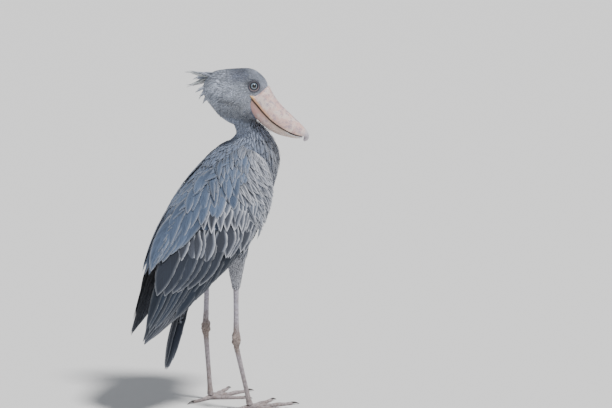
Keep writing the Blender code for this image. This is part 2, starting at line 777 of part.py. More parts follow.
def wing_core(side, materials):
    """The wing's flesh and small feathers: a thick sheet that thins towards the tip."""
    rings = []
    chords = [0.02 + 0.96 * c for c in shares(WING_CORE_ROWS)]
    for s in shares(WING_CORE_STEPS):
        share = 0.01 + s * (WING_CORE_END - 0.01)
        thickness = WING_THICKNESS * (1 - share) + 0.003
        ring = [wing_sheet(share, c) for c in chords]
        ring += [wing_inner(share, c, thickness) for c in reversed(chords)]
        rings.append(ring)
    return skin_rings("wing_" + side, sided(rings, side), materials["flight"])


def wing_vane(root, tip, half_width, heights, lean, count):
    """Rings of one wing feather, from its root in the core to its tip over the sheet."""
    centres, normals, halves = [], [], []
    tilt = math.radians(lean * random.uniform(0.95, 1.15))
    for t in shares(count):
        share, chord = (a + (b - a) * t for a, b in zip(root, tip))
        chord += VANE_BOW * math.sin(math.pi * t)
        normal = wing_normal(share, chord)
        height = heights[0] + (heights[1] - heights[0]) * t**VANE_RISE_POWER
        centres.append(wing_sheet(share, chord) + normal * height)
        normals.append(normal)
        halves.append(half_width * outline_half(VANE_OUTLINE, t))
    return vane_rings(centres, normals, halves, tilt)


def wing_vanes(side, materials):
    """All the feathers of one wing, tier by tier."""
    vanes = []
    for name, count, half_width, sunk, rise, lean, steps, roots, tips in WING_TIERS:
        for share in shares(count):
            root, tip = along(roots, share), along(tips, share)
            tip[0] = min(tip[0] + random.uniform(-0.008, 0.008), 1.0)
            width = half_width * random.uniform(0.95, 1.05)
            rings = wing_vane(root, tip, width, (sunk, rise), lean, steps)
            vanes.append(skin_rings(name, sided(rings, side), materials["flight"]))
    return vanes


def make_wing(side, torso, materials):
    """The folded wing with its feathers."""
    wing = combine(wing_core(side, materials), wing_vanes(side, materials), "UNION")
    return cut_clear(wing, torso)


def leg_ring(centre, half_length, half_width):
    """A level ring of a leg piece."""
    ahead, side = Vector((1, 0, 0)), Vector((0, 1, 0))
    return oval(centre, ahead, side, half_length, half_length, half_width, LEG_SIDES)


def ankle_base(side):
    """The lower end of the ankle, where the tarsus starts."""
    lean = TARSUS_LEAN[side]
    height = SOLE_TO_TARSUS + TARSUS_LENGTH * math.cos(lean)
    return Vector((ANKLE_X[side], SIDE_SIGN[side] * STANCE_HALF_WIDTH, height))


def foot_joint(side):
    """The place where the toes meet."""
    base = ankle_base(side)
    lean = TARSUS_LEAN[side]
    return Vector((base.x + TARSUS_LENGTH * math.sin(lean), base.y, SOLE_TO_TARSUS))


def make_leg(side, torso, materials):
    """Feathered thigh, bare shank, ankle and tarsus of one leg."""
    base = ankle_base(side)
    top = base.z + ANKLE_HEIGHT
    drop = top - SHANK[-1][0]

    def column_y(height):
        share = (height - top) / (THIGH[0][0] - top)
        return base.y * (1 - 0.14 * max(share, 0.0))

    def ring_at(height, x, half_length, half_width):
        return leg_ring(Vector((x, column_y(height), height)), half_length, half_width)

    thigh_x = base.x - ANKLE_X["right"]
    thigh_rings = []
    for share in shares(7):
        height, x, half_length, half_width = along(THIGH, share)
        thigh_rings.append(ring_at(height, x + thigh_x, half_length, half_width))
    thigh = skin_rings("thigh_" + side, thigh_rings, materials["plumage"])
    cut_clear(thigh, torso)
    shank_rings = []
    for share in shares(6):
        height, half_length, half_width = along(SHANK, share)
        height += drop * share - (GAP if share == 0 else 0)
        x = base.x + (THIGH[-1][1] - ANKLE_X["right"]) * (1 - share)
        shank_rings.append(ring_at(height, x, half_length, half_width))
    skin_rings("shank_" + side, shank_rings, materials["leg"])
    ankle_rings = []
    for share in shares(7):
        part, half_length, half_width = along(ANKLE_SHAPE, share)
        height = top - GAP - part * (ANKLE_HEIGHT - 2 * GAP)
        ankle_rings.append(leg_ring(Vector((base.x, base.y, height)), half_length, half_width))
    skin_rings("ankle_" + side, ankle_rings, materials["leg"])
    foot = foot_joint(side)
    tarsus_rings = []
    for share in shares(8):
        part, half_length, half_width = along(TARSUS_SHAPE, share)
        centre = base.lerp(foot, part) + Vector((0, 0, 0.004 * part))
        tarsus_rings.append(leg_ring(centre, half_length, half_width))
    tarsus = skin_rings("tarsus_" + side, tarsus_rings, materials["leg"])
    return thigh, tarsus


def toe_line(side, toe, share):
    """The middle of a toe, and its radius, at a share of its length."""
    turn, length, root_radius, tip_radius, joints = TOES[toe]
    angle = math.radians(turn) * (1 if side == "left" else -1) + FOOT_TURN[side]
    radius = root_radius + (tip_radius - root_radius) * share
    radius *= 1 + 0.09 * math.cos(2 * math.pi * joints * share)
    foot = foot_joint(side)
    reach = share * length
    rise = (1 - share) ** 3 * (SOLE_TO_TARSUS - radius) * 0.6
    point = Vector((foot.x + reach * math.cos(angle), foot.y + reach * math.sin(angle), radius * 0.9 + rise))
    return point, radius, angle


def on_floor(points):
    """Flattens what would reach under the floor."""
    return [Vector((p.x, p.y, max(p.z, 0.0))) for p in points]


def make_toe(side, toe, materials):
    """One toe, thicker at its joints."""
    joints = TOES[toe][4]
    rings = []
    for share in shares(2 * joints + 3):
        centre, radius, angle = toe_line(side, toe, share)
        across = Vector((-math.sin(angle), math.cos(angle), 0))
        ring = oval(centre, Vector((0, 0, 1)), across, radius, radius, radius, TOE_SIDES)
        rings.append(on_floor(ring))
    return skin_rings(f"toe_{toe}_{side}", rings, materials["leg"])


def make_claw(side, toe, materials):
    """The claw at the end of a toe."""
    start, radius, angle = toe_line(side, toe, 1.0)
    rings = []
    ahead = Vector((math.cos(angle), math.sin(angle), 0))
    across = Vector((-math.sin(angle), math.cos(angle), 0))
    for share in shares(6):
        reach = -0.006 + share * (CLAW_LENGTH + 0.006)
        height = 0.0062 + 0.0030 * math.sin(math.pi * share) - 0.0052 * share
        size = CLAW_RADIUS * (1 - share) ** 0.7 + 0.0004
        centre = Vector((start.x, start.y, height)) + ahead * reach
        rings.append(on_floor(oval(centre, Vector((0, 0, 1)), across, size, size, size * 0.8, 6)))
    return skin_rings(f"claw_{toe}_{side}", rings, materials["claw"])


def make_foot(side, tarsus, materials):
    """Four toes, each with its claw, fitted to the tarsus and to each other."""
    placed = [tarsus]
    for toe in TOES:
        made = make_toe(side, toe, materials)
        cut_clear(made, *placed)
        placed.append(made)
        claw = make_claw(side, toe, materials)
        cut_clear(claw, made)


def tail_line(share, spread, lift):
    """A place in the tail: share from root to tip, spread in feathers from the middle."""
    root, tip = Vector(TAIL_ROOT), Vector(TAIL_TIP)
    axis = (tip - root).normalized()
    back = Vector((axis.z, 0, -axis.x))
    spacing = TAIL_SPACING_ROOT + (TAIL_SPACING_TIP - TAIL_SPACING_ROOT) * share
    curve = 0.006 * math.sin(math.pi * share)
    return root.lerp(tip, share) + Vector((0, spread * spacing, 0)) + back * (lift + curve)


def make_tail(torso, materials):
    """The folded tail: a short core and a fan of twelve vanes, the middle pair on top."""
    root, tip = Vector(TAIL_ROOT), Vector(TAIL_TIP)
    axis = (tip - root).normalized()
    ahead = Vector((-axis.z, 0, axis.x))
    rings = []
    for share in shares(4):
        depth = 0.018 - 0.012 * share
        centre = tail_line(share * TAIL_CORE_END, 0.0, -0.002)
        rings.append(oval(centre, ahead, Vector((0, 1, 0)), depth, depth, 0.032, 12))
    tail = skin_rings("tail", rings, materials["flight"])
    vanes = []
    for k in range(TAIL_FEATHERS):
        spread = k - (TAIL_FEATHERS - 1) / 2
        reach = 1.0 - 0.0035 * spread * spread + random.uniform(-0.008, 0.008)
        lift = 0.0052 - 0.0011 * abs(spread) - (0.0005 if spread > 0 else 0.0)
        centres, halves = [], []
        for t in shares(5):
            centres.append(tail_line(0.06 + (reach - 0.06) * t, spread, lift))
            halves.append(TAIL_FEATHER_HALF * outline_half(VANE_OUTLINE, t))
        tilt = math.radians(5.0) * (-1 if spread > 0 else 1)
        rings = vane_rings(centres, [-ahead] * len(centres), halves, tilt)
        vanes.append(skin_rings("rectrix", rings, materials["flight"]))
    combine(tail, vanes, "UNION")
    return cut_clear(tail, torso)


def settle():
    """Moves everything so that the middle of the bounding box's base is the origin."""
    parts = [o for o in bpy.data.objects if o.type == "MESH"]
    corners = [v.co for o in parts for v in o.data.vertices]
    low = Vector([min(c[i] for c in corners) for i in range(3)])
    high = Vector([max(c[i] for c in corners) for i in range(3)])
    shift = Vector((-(low.x + high.x) / 2, -(low.y + high.y) / 2, -low.z))
    for part in parts:
        part.data.transform(Matrix.Translation(shift))


def shade():
    """Smooth shading, with sharp edges where two faces meet at a steep angle."""
    for part in bpy.data.objects:
        part.data.shade_smooth()
        part.data.set_sharp_from_angle(angle=SHARP_ANGLE)


def main():
    """Builds the bird from the body outwards, each piece cut clear of those before it."""
    clear_scene()
    random.seed(SEED)
    materials = make_materials()
    torso = make_torso(materials)
    neck = make_neck(materials)
    head = make_head(materials)
    cut_clear(neck, head, torso)
    upper = make_upper_bill(materials)
    cut_clear(upper, head)
    lower = make_lower_bill(materials)
    cut_clear(lower, head)
    cut_clear(lower, upper)
    for side in SIDE_SIGN:
        socket = add_ball("socket", eye_centre(side), EYE_RADIUS + GAP, materials["eye"])
        combine(head, [socket], "DIFFERENCE")
        add_ball("eye_" + side, eye_centre(side), EYE_RADIUS, materials["eye"])
    make_tail(torso, materials)
    for side in SIDE_SIGN:
        make_wing(side, torso, materials)
        thigh, tarsus = make_leg(side, torso, materials)
        make_foot(side, tarsus, materials)
    settle()
    shade()


main()
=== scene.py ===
"""Shoebill, standing, life size: the finish of the still model.

One skin stands for the feathered body, and vanes laid on it make the coat. The bill, the eyes and
the bare legs are finer meshes over the same named stations as the solids. All shapes are worked out
in the bird's own coordinates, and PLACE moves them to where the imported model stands.
"""

import math

import bpy
import numpy as np
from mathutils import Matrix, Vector, noise
from mathutils.bvhtree import BVHTree
from mathutils.kdtree import KDTree


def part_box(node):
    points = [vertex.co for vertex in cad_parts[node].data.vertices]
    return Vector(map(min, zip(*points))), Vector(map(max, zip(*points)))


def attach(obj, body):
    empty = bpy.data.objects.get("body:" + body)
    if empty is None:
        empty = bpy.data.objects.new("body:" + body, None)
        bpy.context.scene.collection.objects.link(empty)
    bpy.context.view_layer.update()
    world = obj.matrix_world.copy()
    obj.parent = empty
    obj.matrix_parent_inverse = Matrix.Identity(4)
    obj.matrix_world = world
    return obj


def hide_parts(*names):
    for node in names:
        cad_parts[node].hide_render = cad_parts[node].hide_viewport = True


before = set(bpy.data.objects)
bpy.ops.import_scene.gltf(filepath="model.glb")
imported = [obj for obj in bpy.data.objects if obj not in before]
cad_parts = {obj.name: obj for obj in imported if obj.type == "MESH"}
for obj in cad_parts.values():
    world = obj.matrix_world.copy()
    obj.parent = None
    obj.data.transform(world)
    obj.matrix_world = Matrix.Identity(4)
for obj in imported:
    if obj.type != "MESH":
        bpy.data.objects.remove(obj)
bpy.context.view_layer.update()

# The camera, as the photograph was taken
VIEW_AZIMUTH, VIEW_ELEVATION = math.radians(-28.0), math.radians(13.0)
VIEW_AIM = (0.316, 0.0, 0.649)
VIEW_DISTANCE = 9.0
VIEW_LENS, VIEW_SENSOR = 160.3, 36.0

# Body stations: x, z, half width, depth to the front, depth to the back, tilt in degrees
NECK = (
    (0.072, 1.000, 0.044, 0.036, 0.042, 0),
    (0.088, 0.965, 0.045, 0.026, 0.044, 0),
    (0.104, 0.935, 0.048, 0.034, 0.047, 4),
    (0.118, 0.908, 0.058, 0.044, 0.052, 4),
    (0.122, 0.883, 0.070, 0.066, 0.076, 0),
)
TORSO = (
    (0.122, 0.883, 0.070, 0.066, 0.076, 0),
    (0.116, 0.845, 0.084, 0.090, 0.112, -12),
    (0.090, 0.790, 0.099, 0.108, 0.134, -22),
    (0.052, 0.725, 0.108, 0.116, 0.140, -28),
    (0.014, 0.655, 0.109, 0.114, 0.138, -29),
    (-0.022, 0.585, 0.100, 0.098, 0.128, -30),
    (-0.060, 0.515, 0.082, 0.072, 0.106, -31),
    (-0.098, 0.450, 0.058, 0.046, 0.070, -32),
    (-0.124, 0.408, 0.036, 0.026, 0.036, -32),
)

# Head, in its own frame: along, top, bottom, half width
HEAD_ORIGIN = (0.1045, -0.0170, 1.0400)
HEAD_YAW = math.radians(-28.0)
HEAD = (
    (-0.149, 0.030, 0.002, 0.014),
    (-0.140, 0.052, -0.018, 0.031),
    (-0.120, 0.073, -0.045, 0.048),
    (-0.092, 0.082, -0.079, 0.060),
    (-0.058, 0.086, -0.100, 0.066),
    (-0.026, 0.087, -0.102, 0.061),
    (0.000, 0.085, -0.094, 0.0515),
    (0.020, 0.077, -0.086, 0.0460),
    (0.036, 0.064, -0.070, 0.037),
    (0.048, 0.050, -0.048, 0.028),
    (0.056, 0.034, -0.018, 0.016),
)

# Bill, along its own line: along, culmen height, mouth line height, half width
BILL_DROP = math.radians(38.5)
UPPER_BILL = (
    (-0.030, 0.010, 0.002, 0.044),
    (-0.006, 0.010, 0.001, 0.0505),
    (0.004, 0.014, -0.001, 0.0530),
    (0.012, 0.020, -0.0025, 0.0538),
    (0.018, 0.034, -0.004, 0.0540),
    (0.024, 0.052, -0.005, 0.0540),
    (0.032, 0.0575, -0.0065, 0.0540),
    (0.043, 0.0515, -0.009, 0.0540),
    (0.056, 0.0455, -0.012, 0.0540),
    (0.079, 0.0378, -0.016, 0.0535),
    (0.104, 0.0325, -0.019, 0.0520),
    (0.136, 0.0285, -0.0185, 0.0485),
    (0.164, 0.0258, -0.016, 0.0435),
    (0.187, 0.0230, -0.0112, 0.0370),
    (0.205, 0.0205, -0.0055, 0.0295),
    (0.219, 0.0170, 0.0000, 0.0205),
    (0.228, 0.0120, 0.0035, 0.0110),
)
# along, mouth line height, lower edge height, half width
LOWER_BILL = (
    (-0.030, 0.002, -0.036, 0.044),
    (0.000, 0.000, -0.040, 0.048),
    (0.034, -0.007, -0.0475, 0.0505),
    (0.064, -0.0135, -0.0505, 0.0510),
    (0.100, -0.0187, -0.0535, 0.0500),
    (0.126, -0.0190, -0.0525, 0.0475),
    (0.154, -0.0170, -0.0462, 0.0425),
    (0.179, -0.0130, -0.0355, 0.0355),
    (0.203, -0.0062, -0.0230, 0.0260),
    (0.218, -0.0010, -0.0115, 0.0150),
)
# The hooked nail: along, height, half width, half thickness
NAIL = (
    (0.200, 0.0130, 0.0150, 0.0066),
    (0.214, 0.0112, 0.0145, 0.0076),
    (0.2260, 0.0062, 0.0118, 0.0080),
    (0.2302, -0.0015, 0.0088, 0.0084),
    (0.2310, -0.0085, 0.0060, 0.0062),
    (0.2306, -0.0142, 0.0028, 0.0028),
)
MOUTH_GAP, JAW_BOW, JAW_SWELL = 0.0008, 0.0034, 0.0012
RIDGE_HEIGHT, GROOVE_DEPTH, SLIT_DEPTH, LIP_SWELL = 0.0012, 0.0014, 0.0040, 0.0006
HORN_GRAIN = 0.00018
GROOVE_SHARE = 0.30  # where the groove runs, as a share of the half width
FLOOR_POINTS = 9
UPPER_FLOOR, LOWER_FLOOR = 0.0015, 0.0020  # how far the halves' flat sides lie inside the mouth line
NOSTRIL_ALONG, NOSTRIL_LEFT, NOSTRIL_LENGTH = 0.043, 0.0165, 0.028

# Eye: place in the head's frame, and sizes
EYE_ALONG, EYE_HEIGHT = 0.0120, 0.0335
EYE_RADIUS, EYE_SUNK = 0.0130, 0.0086
PUPIL_RADIUS, IRIS_RADIUS = 0.0068, 0.0108
CORNEA_RISE, LID_WRINKLE, LID_WIDER, BROW_SWELL = 0.0008, 0.00022, 0.10, 0.0030

# Right wing: its three edge curves from the wrist to the tip
WING_LOW = (
    (0.124, -0.096, 0.815),
    (0.126, -0.116, 0.715),
    (0.058, -0.130, 0.585),
    (-0.055, -0.120, 0.478),
    (-0.176, -0.092, 0.365),
    (-0.300, -0.060, 0.262),
)
WING_MID = (
    (0.100, -0.096, 0.850),
    (0.038, -0.138, 0.765),
    (-0.032, -0.146, 0.665),
    (-0.122, -0.126, 0.555),
    (-0.213, -0.090, 0.430),
    (-0.306, -0.054, 0.268),
)
WING_TOP = (
    (0.064, -0.055, 0.880),
    (-0.022, -0.050, 0.828),
    (-0.118, -0.036, 0.745),
    (-0.208, -0.020, 0.630),
    (-0.268, -0.022, 0.480),
    (-0.312, -0.044, 0.285),
)
WING_CORE_END = 0.74
BRIDGE_CHORD, BRIDGE_ARCH = 0.97, 0.008
WING_THICKNESS = 0.030

# Legs: height, x, half length, half width of the thigh; the rest as in the solids
THIGH = (
    (0.575, 0.026, 0.044, 0.036),
    (0.530, 0.024, 0.035, 0.031),
    (0.484, 0.021, 0.0270, 0.0245),
    (0.445, 0.020, 0.0195, 0.0180),
    (0.412, 0.019, 0.0130, 0.0120),
)
TARSUS_LENGTH = 0.212
TARSUS_LEAN = {"right": math.radians(13.0), "left": math.radians(4.0)}
ANKLE_X = {"right": 0.016, "left": -0.016}
STANCE_HALF_WIDTH = 0.080
LEG_INWARD = 0.14  # how far the leg leans in towards the thigh, as a share of the stance
SOLE_TO_TARSUS = 0.014
ANKLE_HEIGHT = 0.052
SIDE_SIGN = {"right": -1.0, "left": 1.0}
SHANK = (  # height, half length, half width
    (0.412, 0.0094, 0.0086),
    (0.380, 0.0084, 0.0078),
    (0.320, 0.0086, 0.0078),
    (0.282, 0.0100, 0.0090),
)
ANKLE_SHAPE = (  # share of the ankle's height, half length, half width
    (0.0, 0.0100, 0.0090),
    (0.3, 0.0140, 0.0122),
    (0.6, 0.0148, 0.0128),
    (1.0, 0.0092, 0.0082),
)
TARSUS_SHAPE = (  # share of the tarsus, half length, half width
    (0.0, 0.0092, 0.0082),
    (0.3, 0.0080, 0.0070),
    (0.8, 0.0080, 0.0070),
    (1.0, 0.0112, 0.0110),
)

# Toes: direction from straight ahead in degrees, length, radius at the root and at the tip, joints
TOES = {
    "middle": (2.0, 0.150, 0.0078, 0.0052, 3),
    "inner": (-30.0, 0.116, 0.0074, 0.0050, 2),
    "outer": (31.0, 0.124, 0.0074, 0.0050, 4),
    "hind": (186.0, 0.072, 0.0068, 0.0048, 1),
}
FOOT_TURN = {"right": math.radians(-6.0), "left": math.radians(5.0)}
TOE_KNUCKLE, TOE_FLAT = 0.09, 0.9  # swelling at the joints, and the toe's height beside its width
CLAW_LENGTH, CLAW_RADIUS, CLAW_INSIDE = 0.024, 0.0042, 0.006
CLAW_HEIGHT, CLAW_ARCH, CLAW_DROP, CLAW_FLAT = 0.0062, 0.0030, 0.0052, 0.8
KNOB_SCALE, KNOB_HEIGHT = 105.0, 0.0044  # lumps round the ankle

# Tail
TAIL_ROOT = (-0.116, 0.0, 0.420)
TAIL_TIP = (-0.200, 0.0, 0.150)
TAIL_FEATHERS = 12
TAIL_SPACING_ROOT, TAIL_SPACING_TIP = 0.0042, 0.0058
TAIL_FEATHER_HALF = 0.0175
TAIL_CORE_END, TAIL_CORE_DEPTH, TAIL_CORE_TAPER, TAIL_CORE_HALF = 0.42, 0.016, 0.012, 0.028
TAIL_CURVE, TAIL_STACK = 0.006, 0.0052  # its bow, and how high its middle pair lies

# Light
WORLD_STRENGTH, KEY_STRENGTH, KEY_ANGLE = 0.37, 4.5, math.radians(9.0)
KEY_FROM = (0.26, -0.50, 1.15)

# Coat
BODY_DEPTH, FACE_DEPTH, THIGH_DEPTH = 0.0040, 0.0018, 0.0025  # how far the skin lies under the solids
SKIN_VOXEL, BILL_VOXEL, LEG_VOXEL = 0.0036, 0.0011, 0.0012
HEAD_SPACING, THIGH_SPACING, NECK_SPACING, BODY_SPACING = 0.0022, 0.0031, 0.0039, 0.0068  # between roots
LESSER_SPACING = 0.0098
HEAD_SAMPLES, BODY_SAMPLES, LESSER_SAMPLES = 380000, 240000, 9000  # places tried before thinning
VANE_EASE = 1.35  # how far a feather's stations crowd towards its tip
LARGE_STATIONS = 22
VANE_THICKNESS = 0.0006
PATCH, LESSER_PATCH, CREST_PATCH = 0.003, 0.006, 0.004  # sizes of the feathers' patches on the baking map
ROOT_SHADE, HEAD_ROOT_SHADE, THIGH_ROOT_SHADE = 0.50, 0.30, 0.10  # how much darker at the root: painted shade where the feathers lie under others
HEAD_START, HEAD_FULL = 0.955, 0.985  # heights at which the neck's coat turns into the head's
NECK_START, NECK_COAT_LOW, BELLY_COAT_TOP = 0.925, 0.86, 0.62  # heights that divide the body's coat
THIGH_OUT, THIGH_REACH, THIGH_TOP, THIGH_REAR = 0.078, 0.044, 0.560, -0.040  # where the thighs' coat lies
SKIN_TONE, THIGH_SKIN_TONE = 0.75, 1.35  # the down's brightness beside the feathers over it
EYE_CLEAR, EYE_CLEAR_BROW, EYE_WIDER = 0.0146, 0.0026, 1.12  # the ring without feathers round the eye
EYE_HOLLOW = 0.55  # how near the skin comes to the eye's centre, as a share of its radius
RIPPLE_WAVES = 6  # waves that make one soft random pattern
BARB_SLOPE = -2.2  # how steeply the barbs run from the shaft towards the tip
LIE_POWER, WING_LIE_POWER = 0.7, 0.6  # how soon a feather lifts off the skin, and off the wing
HEAD_LENGTH, NAPE_LONGER, FACE_SHORTER = 0.0125, 0.0120, 0.0055
HEAD_HALF, NAPE_WIDER, FACE_NARROWER = 0.0016, 0.0009, 0.0004
HEAD_RISE, NAPE_RISE, BROW_RISE, HEAD_SUNK = 0.0012, 0.0030, 0.0030, 0.0006
BODY_LENGTH, BREAST_LONGER, NECK_LENGTH, THROAT_LONGER, THIGH_LENGTH = 0.046, 0.014, 0.024, 0.018, 0.018
BODY_HALF, BREAST_NARROWER, NECK_HALF, THIGH_HALF = 0.0088, 0.0026, 0.0034, 0.0026
BODY_RISE, NECK_RISE, THIGH_RISE, BODY_SUNK = 0.0050, 0.0022, 0.0022, 0.0008
COLLAR_RISE, THROAT_RISE = 0.0090, 0.0170  # how far the shaggy locks of neck and throat stand out more
HIDDEN_REACH = 0.009  # feathers nearer to a wing's sheet than this are left out
MANTLE_STEP, MANTLE_SPACING, MANTLE_STATIONS = 0.036, 0.024, 12
LESSER_STATIONS, CREST_STATIONS, BODY_STATIONS, HEAD_STATIONS = 8, 9, 5, 4

# Scales of the legs
SCALE_SAMPLES, SCALE_SPACING = 16000, 0.0034
SCALE_SEAM, SCALE_RELIEF = 0.0011, 0.00042

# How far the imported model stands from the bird's own coordinates
low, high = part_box("ankle_right")
PLACE = Vector((
    (low.x + high.x) / 2 - ANKLE_X["right"],
    (low.y + high.y) / 2 - SIDE_SIGN["right"] * STANCE_HALF_WIDTH,
    0.0,
))


def srgb(red, green, blue):
    """A colour given by 0 to 255 values, in linear light."""
    values = np.array((red, green, blue)) / 255.0
    return np.where(values <= 0.04045, values / 12.92, ((values + 0.055) / 1.055) ** 2.4)


def palette(rows):
    """Named colours in linear light."""
    return {name: srgb(*values) for name, values in rows.items()}


# Soft patches of the face, in the head's frame: forward, reach along, up, reach in height
FACE = {
    "ear": (-0.062, 0.045, -0.014, 0.0100),
    "pale": (-0.095, 0.045, 0.030, 0.028),
    "mottled": (-0.030, 0.050, -0.040, 0.030),
    "edged": (-0.030, 0.055, -0.040, 0.035),
}
EAR_SLOPE = 0.30

# Colours of the feathers
COLOUR = palette({
    "head": (206, 216, 236),
    "crown": (132, 142, 168),
    # A darker grey painted as shade on the lower rear of the head
    "cheek": (122, 133, 152),
    "neck": (162, 174, 198),
    "breast": (138, 147, 168),
    "belly": (116, 122, 134),
    "mantle": (106, 122, 150),
    "scapular": (94, 111, 138),
    "covert": (108, 114, 128),
    "pale": (186, 193, 210),
    "lesser": (124, 134, 152),
    "inner": (54, 62, 76),
    "secondary": (34, 45, 60),
    "primary": (31, 39, 54),
    "tail": (34, 44, 62),
    "thigh": (208, 210, 220),
    "streak": (52, 56, 66),
    "edge": (214, 218, 228),
})

# Colours of horn, bare skin and eyes
BARE = palette({
    "cream": (228, 210, 202),
    "pink": (222, 184, 176),
    "lilac": (186, 176, 188),
    "blotch": (158, 142, 158),
    "fleck": (112, 98, 110),
    "fibre": (240, 228, 220),
    "flush": (206, 140, 138),
    "mouth": (204, 166, 140),
    # Painted shade on the lower bill towards its lower edge
    "under": (146, 122, 112),
    "far": (206, 188, 174),
    "lip": (216, 214, 216),
    "tan": (204, 152, 108),
    "gape": (202, 158, 96),
    # Painted shade inside the nostril slit
    "nostril": (66, 54, 58),
    "ridge": (150, 140, 152),
    "hook": (188, 186, 196),
    "mouth line": (62, 50, 46),
    "iris": (98, 114, 132),
    "iris light": (144, 160, 176),
    "iris rim": (58, 62, 70),
    "pupil": (6, 6, 8),
    "lid": (138, 118, 122),
    "lid light": (174, 154, 158),
    # Painted shade from the brow on the upper lids
    "lid brow shade": (70, 72, 84),
    "lid outer": (62, 64, 76),
    "lid rim": (36, 36, 42),
    "shank": (156, 152, 164),
    "shank light": (192, 188, 200),
    "ankle": (118, 104, 98),
    "ankle light": (158, 145, 140),
    "dust": (138, 120, 108),
    "seam": (84, 74, 74),
    "claw": (44, 40, 42),
    "claw light": (92, 84, 82),
})


# Curves and surfaces


def along(rows, share):
    """Rows of numbers at shares, 0 to 1, of a smooth curve through rows."""
    p = np.asarray(rows, float)
    last = len(p) - 1
    place = np.clip(np.asarray(share, float), 0.0, 1.0) * last
    i = np.minimum(place.astype(int), last - 1)
    f = (place - i)[..., None]
    first = (i == 0)[..., None]
    end = (i == last - 1)[..., None]
    b, c = p[i], p[i + 1]
    a = np.where(first, 2 * b - c, p[np.maximum(i - 1, 0)])
    d = np.where(end, 2 * c - b, p[np.minimum(i + 2, last)])
    return b + 0.5 * f * (c - a + f * (2 * a - 5 * b + 4 * c - d + f * (3 * b - a - 3 * c + d)))


def by_column(rows, share):
    """What along() finds, as one array for each column of the rows."""
    return np.moveaxis(along(rows, share), -1, 0)


def eased(count):
    """Shares of a feather's length from root to tip."""
    return 1 - (1 - np.linspace(0.0, 1.0, count)) ** VANE_EASE


def round_grid(low_end, high_end, rows, sides):
    """Values along a closed shell's length, and angles all the way round it."""
    turn = 2 * np.pi * np.arange(sides) / sides
    return np.meshgrid(np.linspace(low_end, high_end, rows), turn, indexing="ij")


def flat_grid(first, second):
    """Values along and across a sheet, each from (start, end, count)."""
    return np.meshgrid(np.linspace(*first), np.linspace(*second), indexing="ij")


def unit(vectors):
    """Vectors of length one."""
    return vectors / np.maximum(np.linalg.norm(vectors, axis=-1, keepdims=True), 1e-12)


def smooth_step(low_end, high_end, value):
    t = np.clip((value - low_end) / (high_end - low_end), 0.0, 1.0)
    return t * t * (3 - 2 * t)


def mix(a, b, amount):
    amount = np.asarray(amount)[..., None]
    return a * (1 - amount) + b * amount


def head_point(forward, left, up):
    """Places given in the head's frame."""
    c, s = math.cos(HEAD_YAW), math.sin(HEAD_YAW)
    x, y, z = HEAD_ORIGIN
    return np.stack([x + forward * c - left * s, y + forward * s + left * c, z + up], -1)


def in_head(points):
    """Places in the head's frame: forward, left and up."""
    c, s = math.cos(HEAD_YAW), math.sin(HEAD_YAW)
    d = points - np.array(HEAD_ORIGIN)
    return d[..., 0] * c + d[..., 1] * s, d[..., 1] * c - d[..., 0] * s, d[..., 2]


def bill_point(forward, left, up):
    """Places given along the bill's own line."""
    c, s = math.cos(BILL_DROP), math.sin(BILL_DROP)
    return head_point(forward * c + up * s, left, up * c - forward * s)


def head_half_width(forward, up):
    """Half the head's width at a place in its frame."""
    rows = np.array(HEAD)
    top, bottom, half_width = (np.interp(forward, rows[:, 0], rows[:, k]) for k in (1, 2, 3))
    middle, reach = (top + bottom) / 2, (top - bottom) / 2
    return half_width * np.sqrt(np.maximum(0.0, 1 - ((up - middle) / reach) ** 2))


def cheek(side, forward, up):
    """A place on the side of the head, and the direction out of it."""
    sign, step = SIDE_SIGN[side], 0.003

    def at(f, u):
        return head_point(f, sign * head_half_width(f, u), u)

    run = at(forward + step, up) - at(forward - step, up)
    rise = at(forward, up + step) - at(forward, up - step)
    return at(forward, up), unit(np.cross(run, rise)) * -sign


def wing_sheet(share, chord):
    """Places on the right wing's sheet: share from wrist to tip, chord from lower to upper edge."""
    lower, middle, upper = (along(edge, share) for edge in (WING_LOW, WING_MID, WING_TOP))
    c = np.asarray(chord, float)[..., None]
    return lower * (1 - c) * (1 - 2 * c) + middle * 4 * c * (1 - c) + upper * c * (2 * c - 1)


def wing_normal(share, chord):
    """The direction out of the right wing's sheet."""
    step = 0.01
    ahead = wing_sheet(np.minimum(share + step, 1), chord) - wing_sheet(np.maximum(share - step, 0), chord)
    across = wing_sheet(share, chord + step) - wing_sheet(share, chord - step)
    return unit(np.cross(across, ahead))


# Meshes


def mesh_piece(name, points, faces, material):
    """A piece from points in the bird's coordinates and lists of faces, each an array of one size."""
    mesh = bpy.data.meshes.new(name)
    points = np.asarray(points, float).reshape(-1, 3) + np.array(PLACE)
    if volume_of(points, faces) < 0:
        faces = [f[:, ::-1] for f in faces]
    mesh.vertices.add(len(points))
    mesh.vertices.foreach_set("co", points.astype(np.float32).ravel())
    loops = np.concatenate([f.ravel() for f in faces]).astype(np.int32)
    sizes = np.concatenate([np.full(len(f), f.shape[1]) for f in faces])
    starts = np.concatenate([[0], np.cumsum(sizes)[:-1]]).astype(np.int32)
    mesh.loops.add(len(loops))
    mesh.loops.foreach_set("vertex_index", loops)
    mesh.polygons.add(len(sizes))
    mesh.polygons.foreach_set("loop_start", starts)
    mesh.update(calc_edges=True)
    mesh.validate()
    mesh.shade_smooth()
    made = bpy.data.objects.new(name, mesh)
    bpy.context.scene.collection.objects.link(made)
    made.data.materials.append(material)
    return made


def volume_of(points, faces):
    """The volume that closed faces hold, below zero where they face inwards."""
    points = points - points.mean(0)
    total = 0.0
    for f in faces:
        for k in range(1, f.shape[1] - 1):
            a, b, c = (points[f[:, j]] for j in (0, k, k + 1))
            total += np.sum(a * np.cross(b, c))
    return total / 6


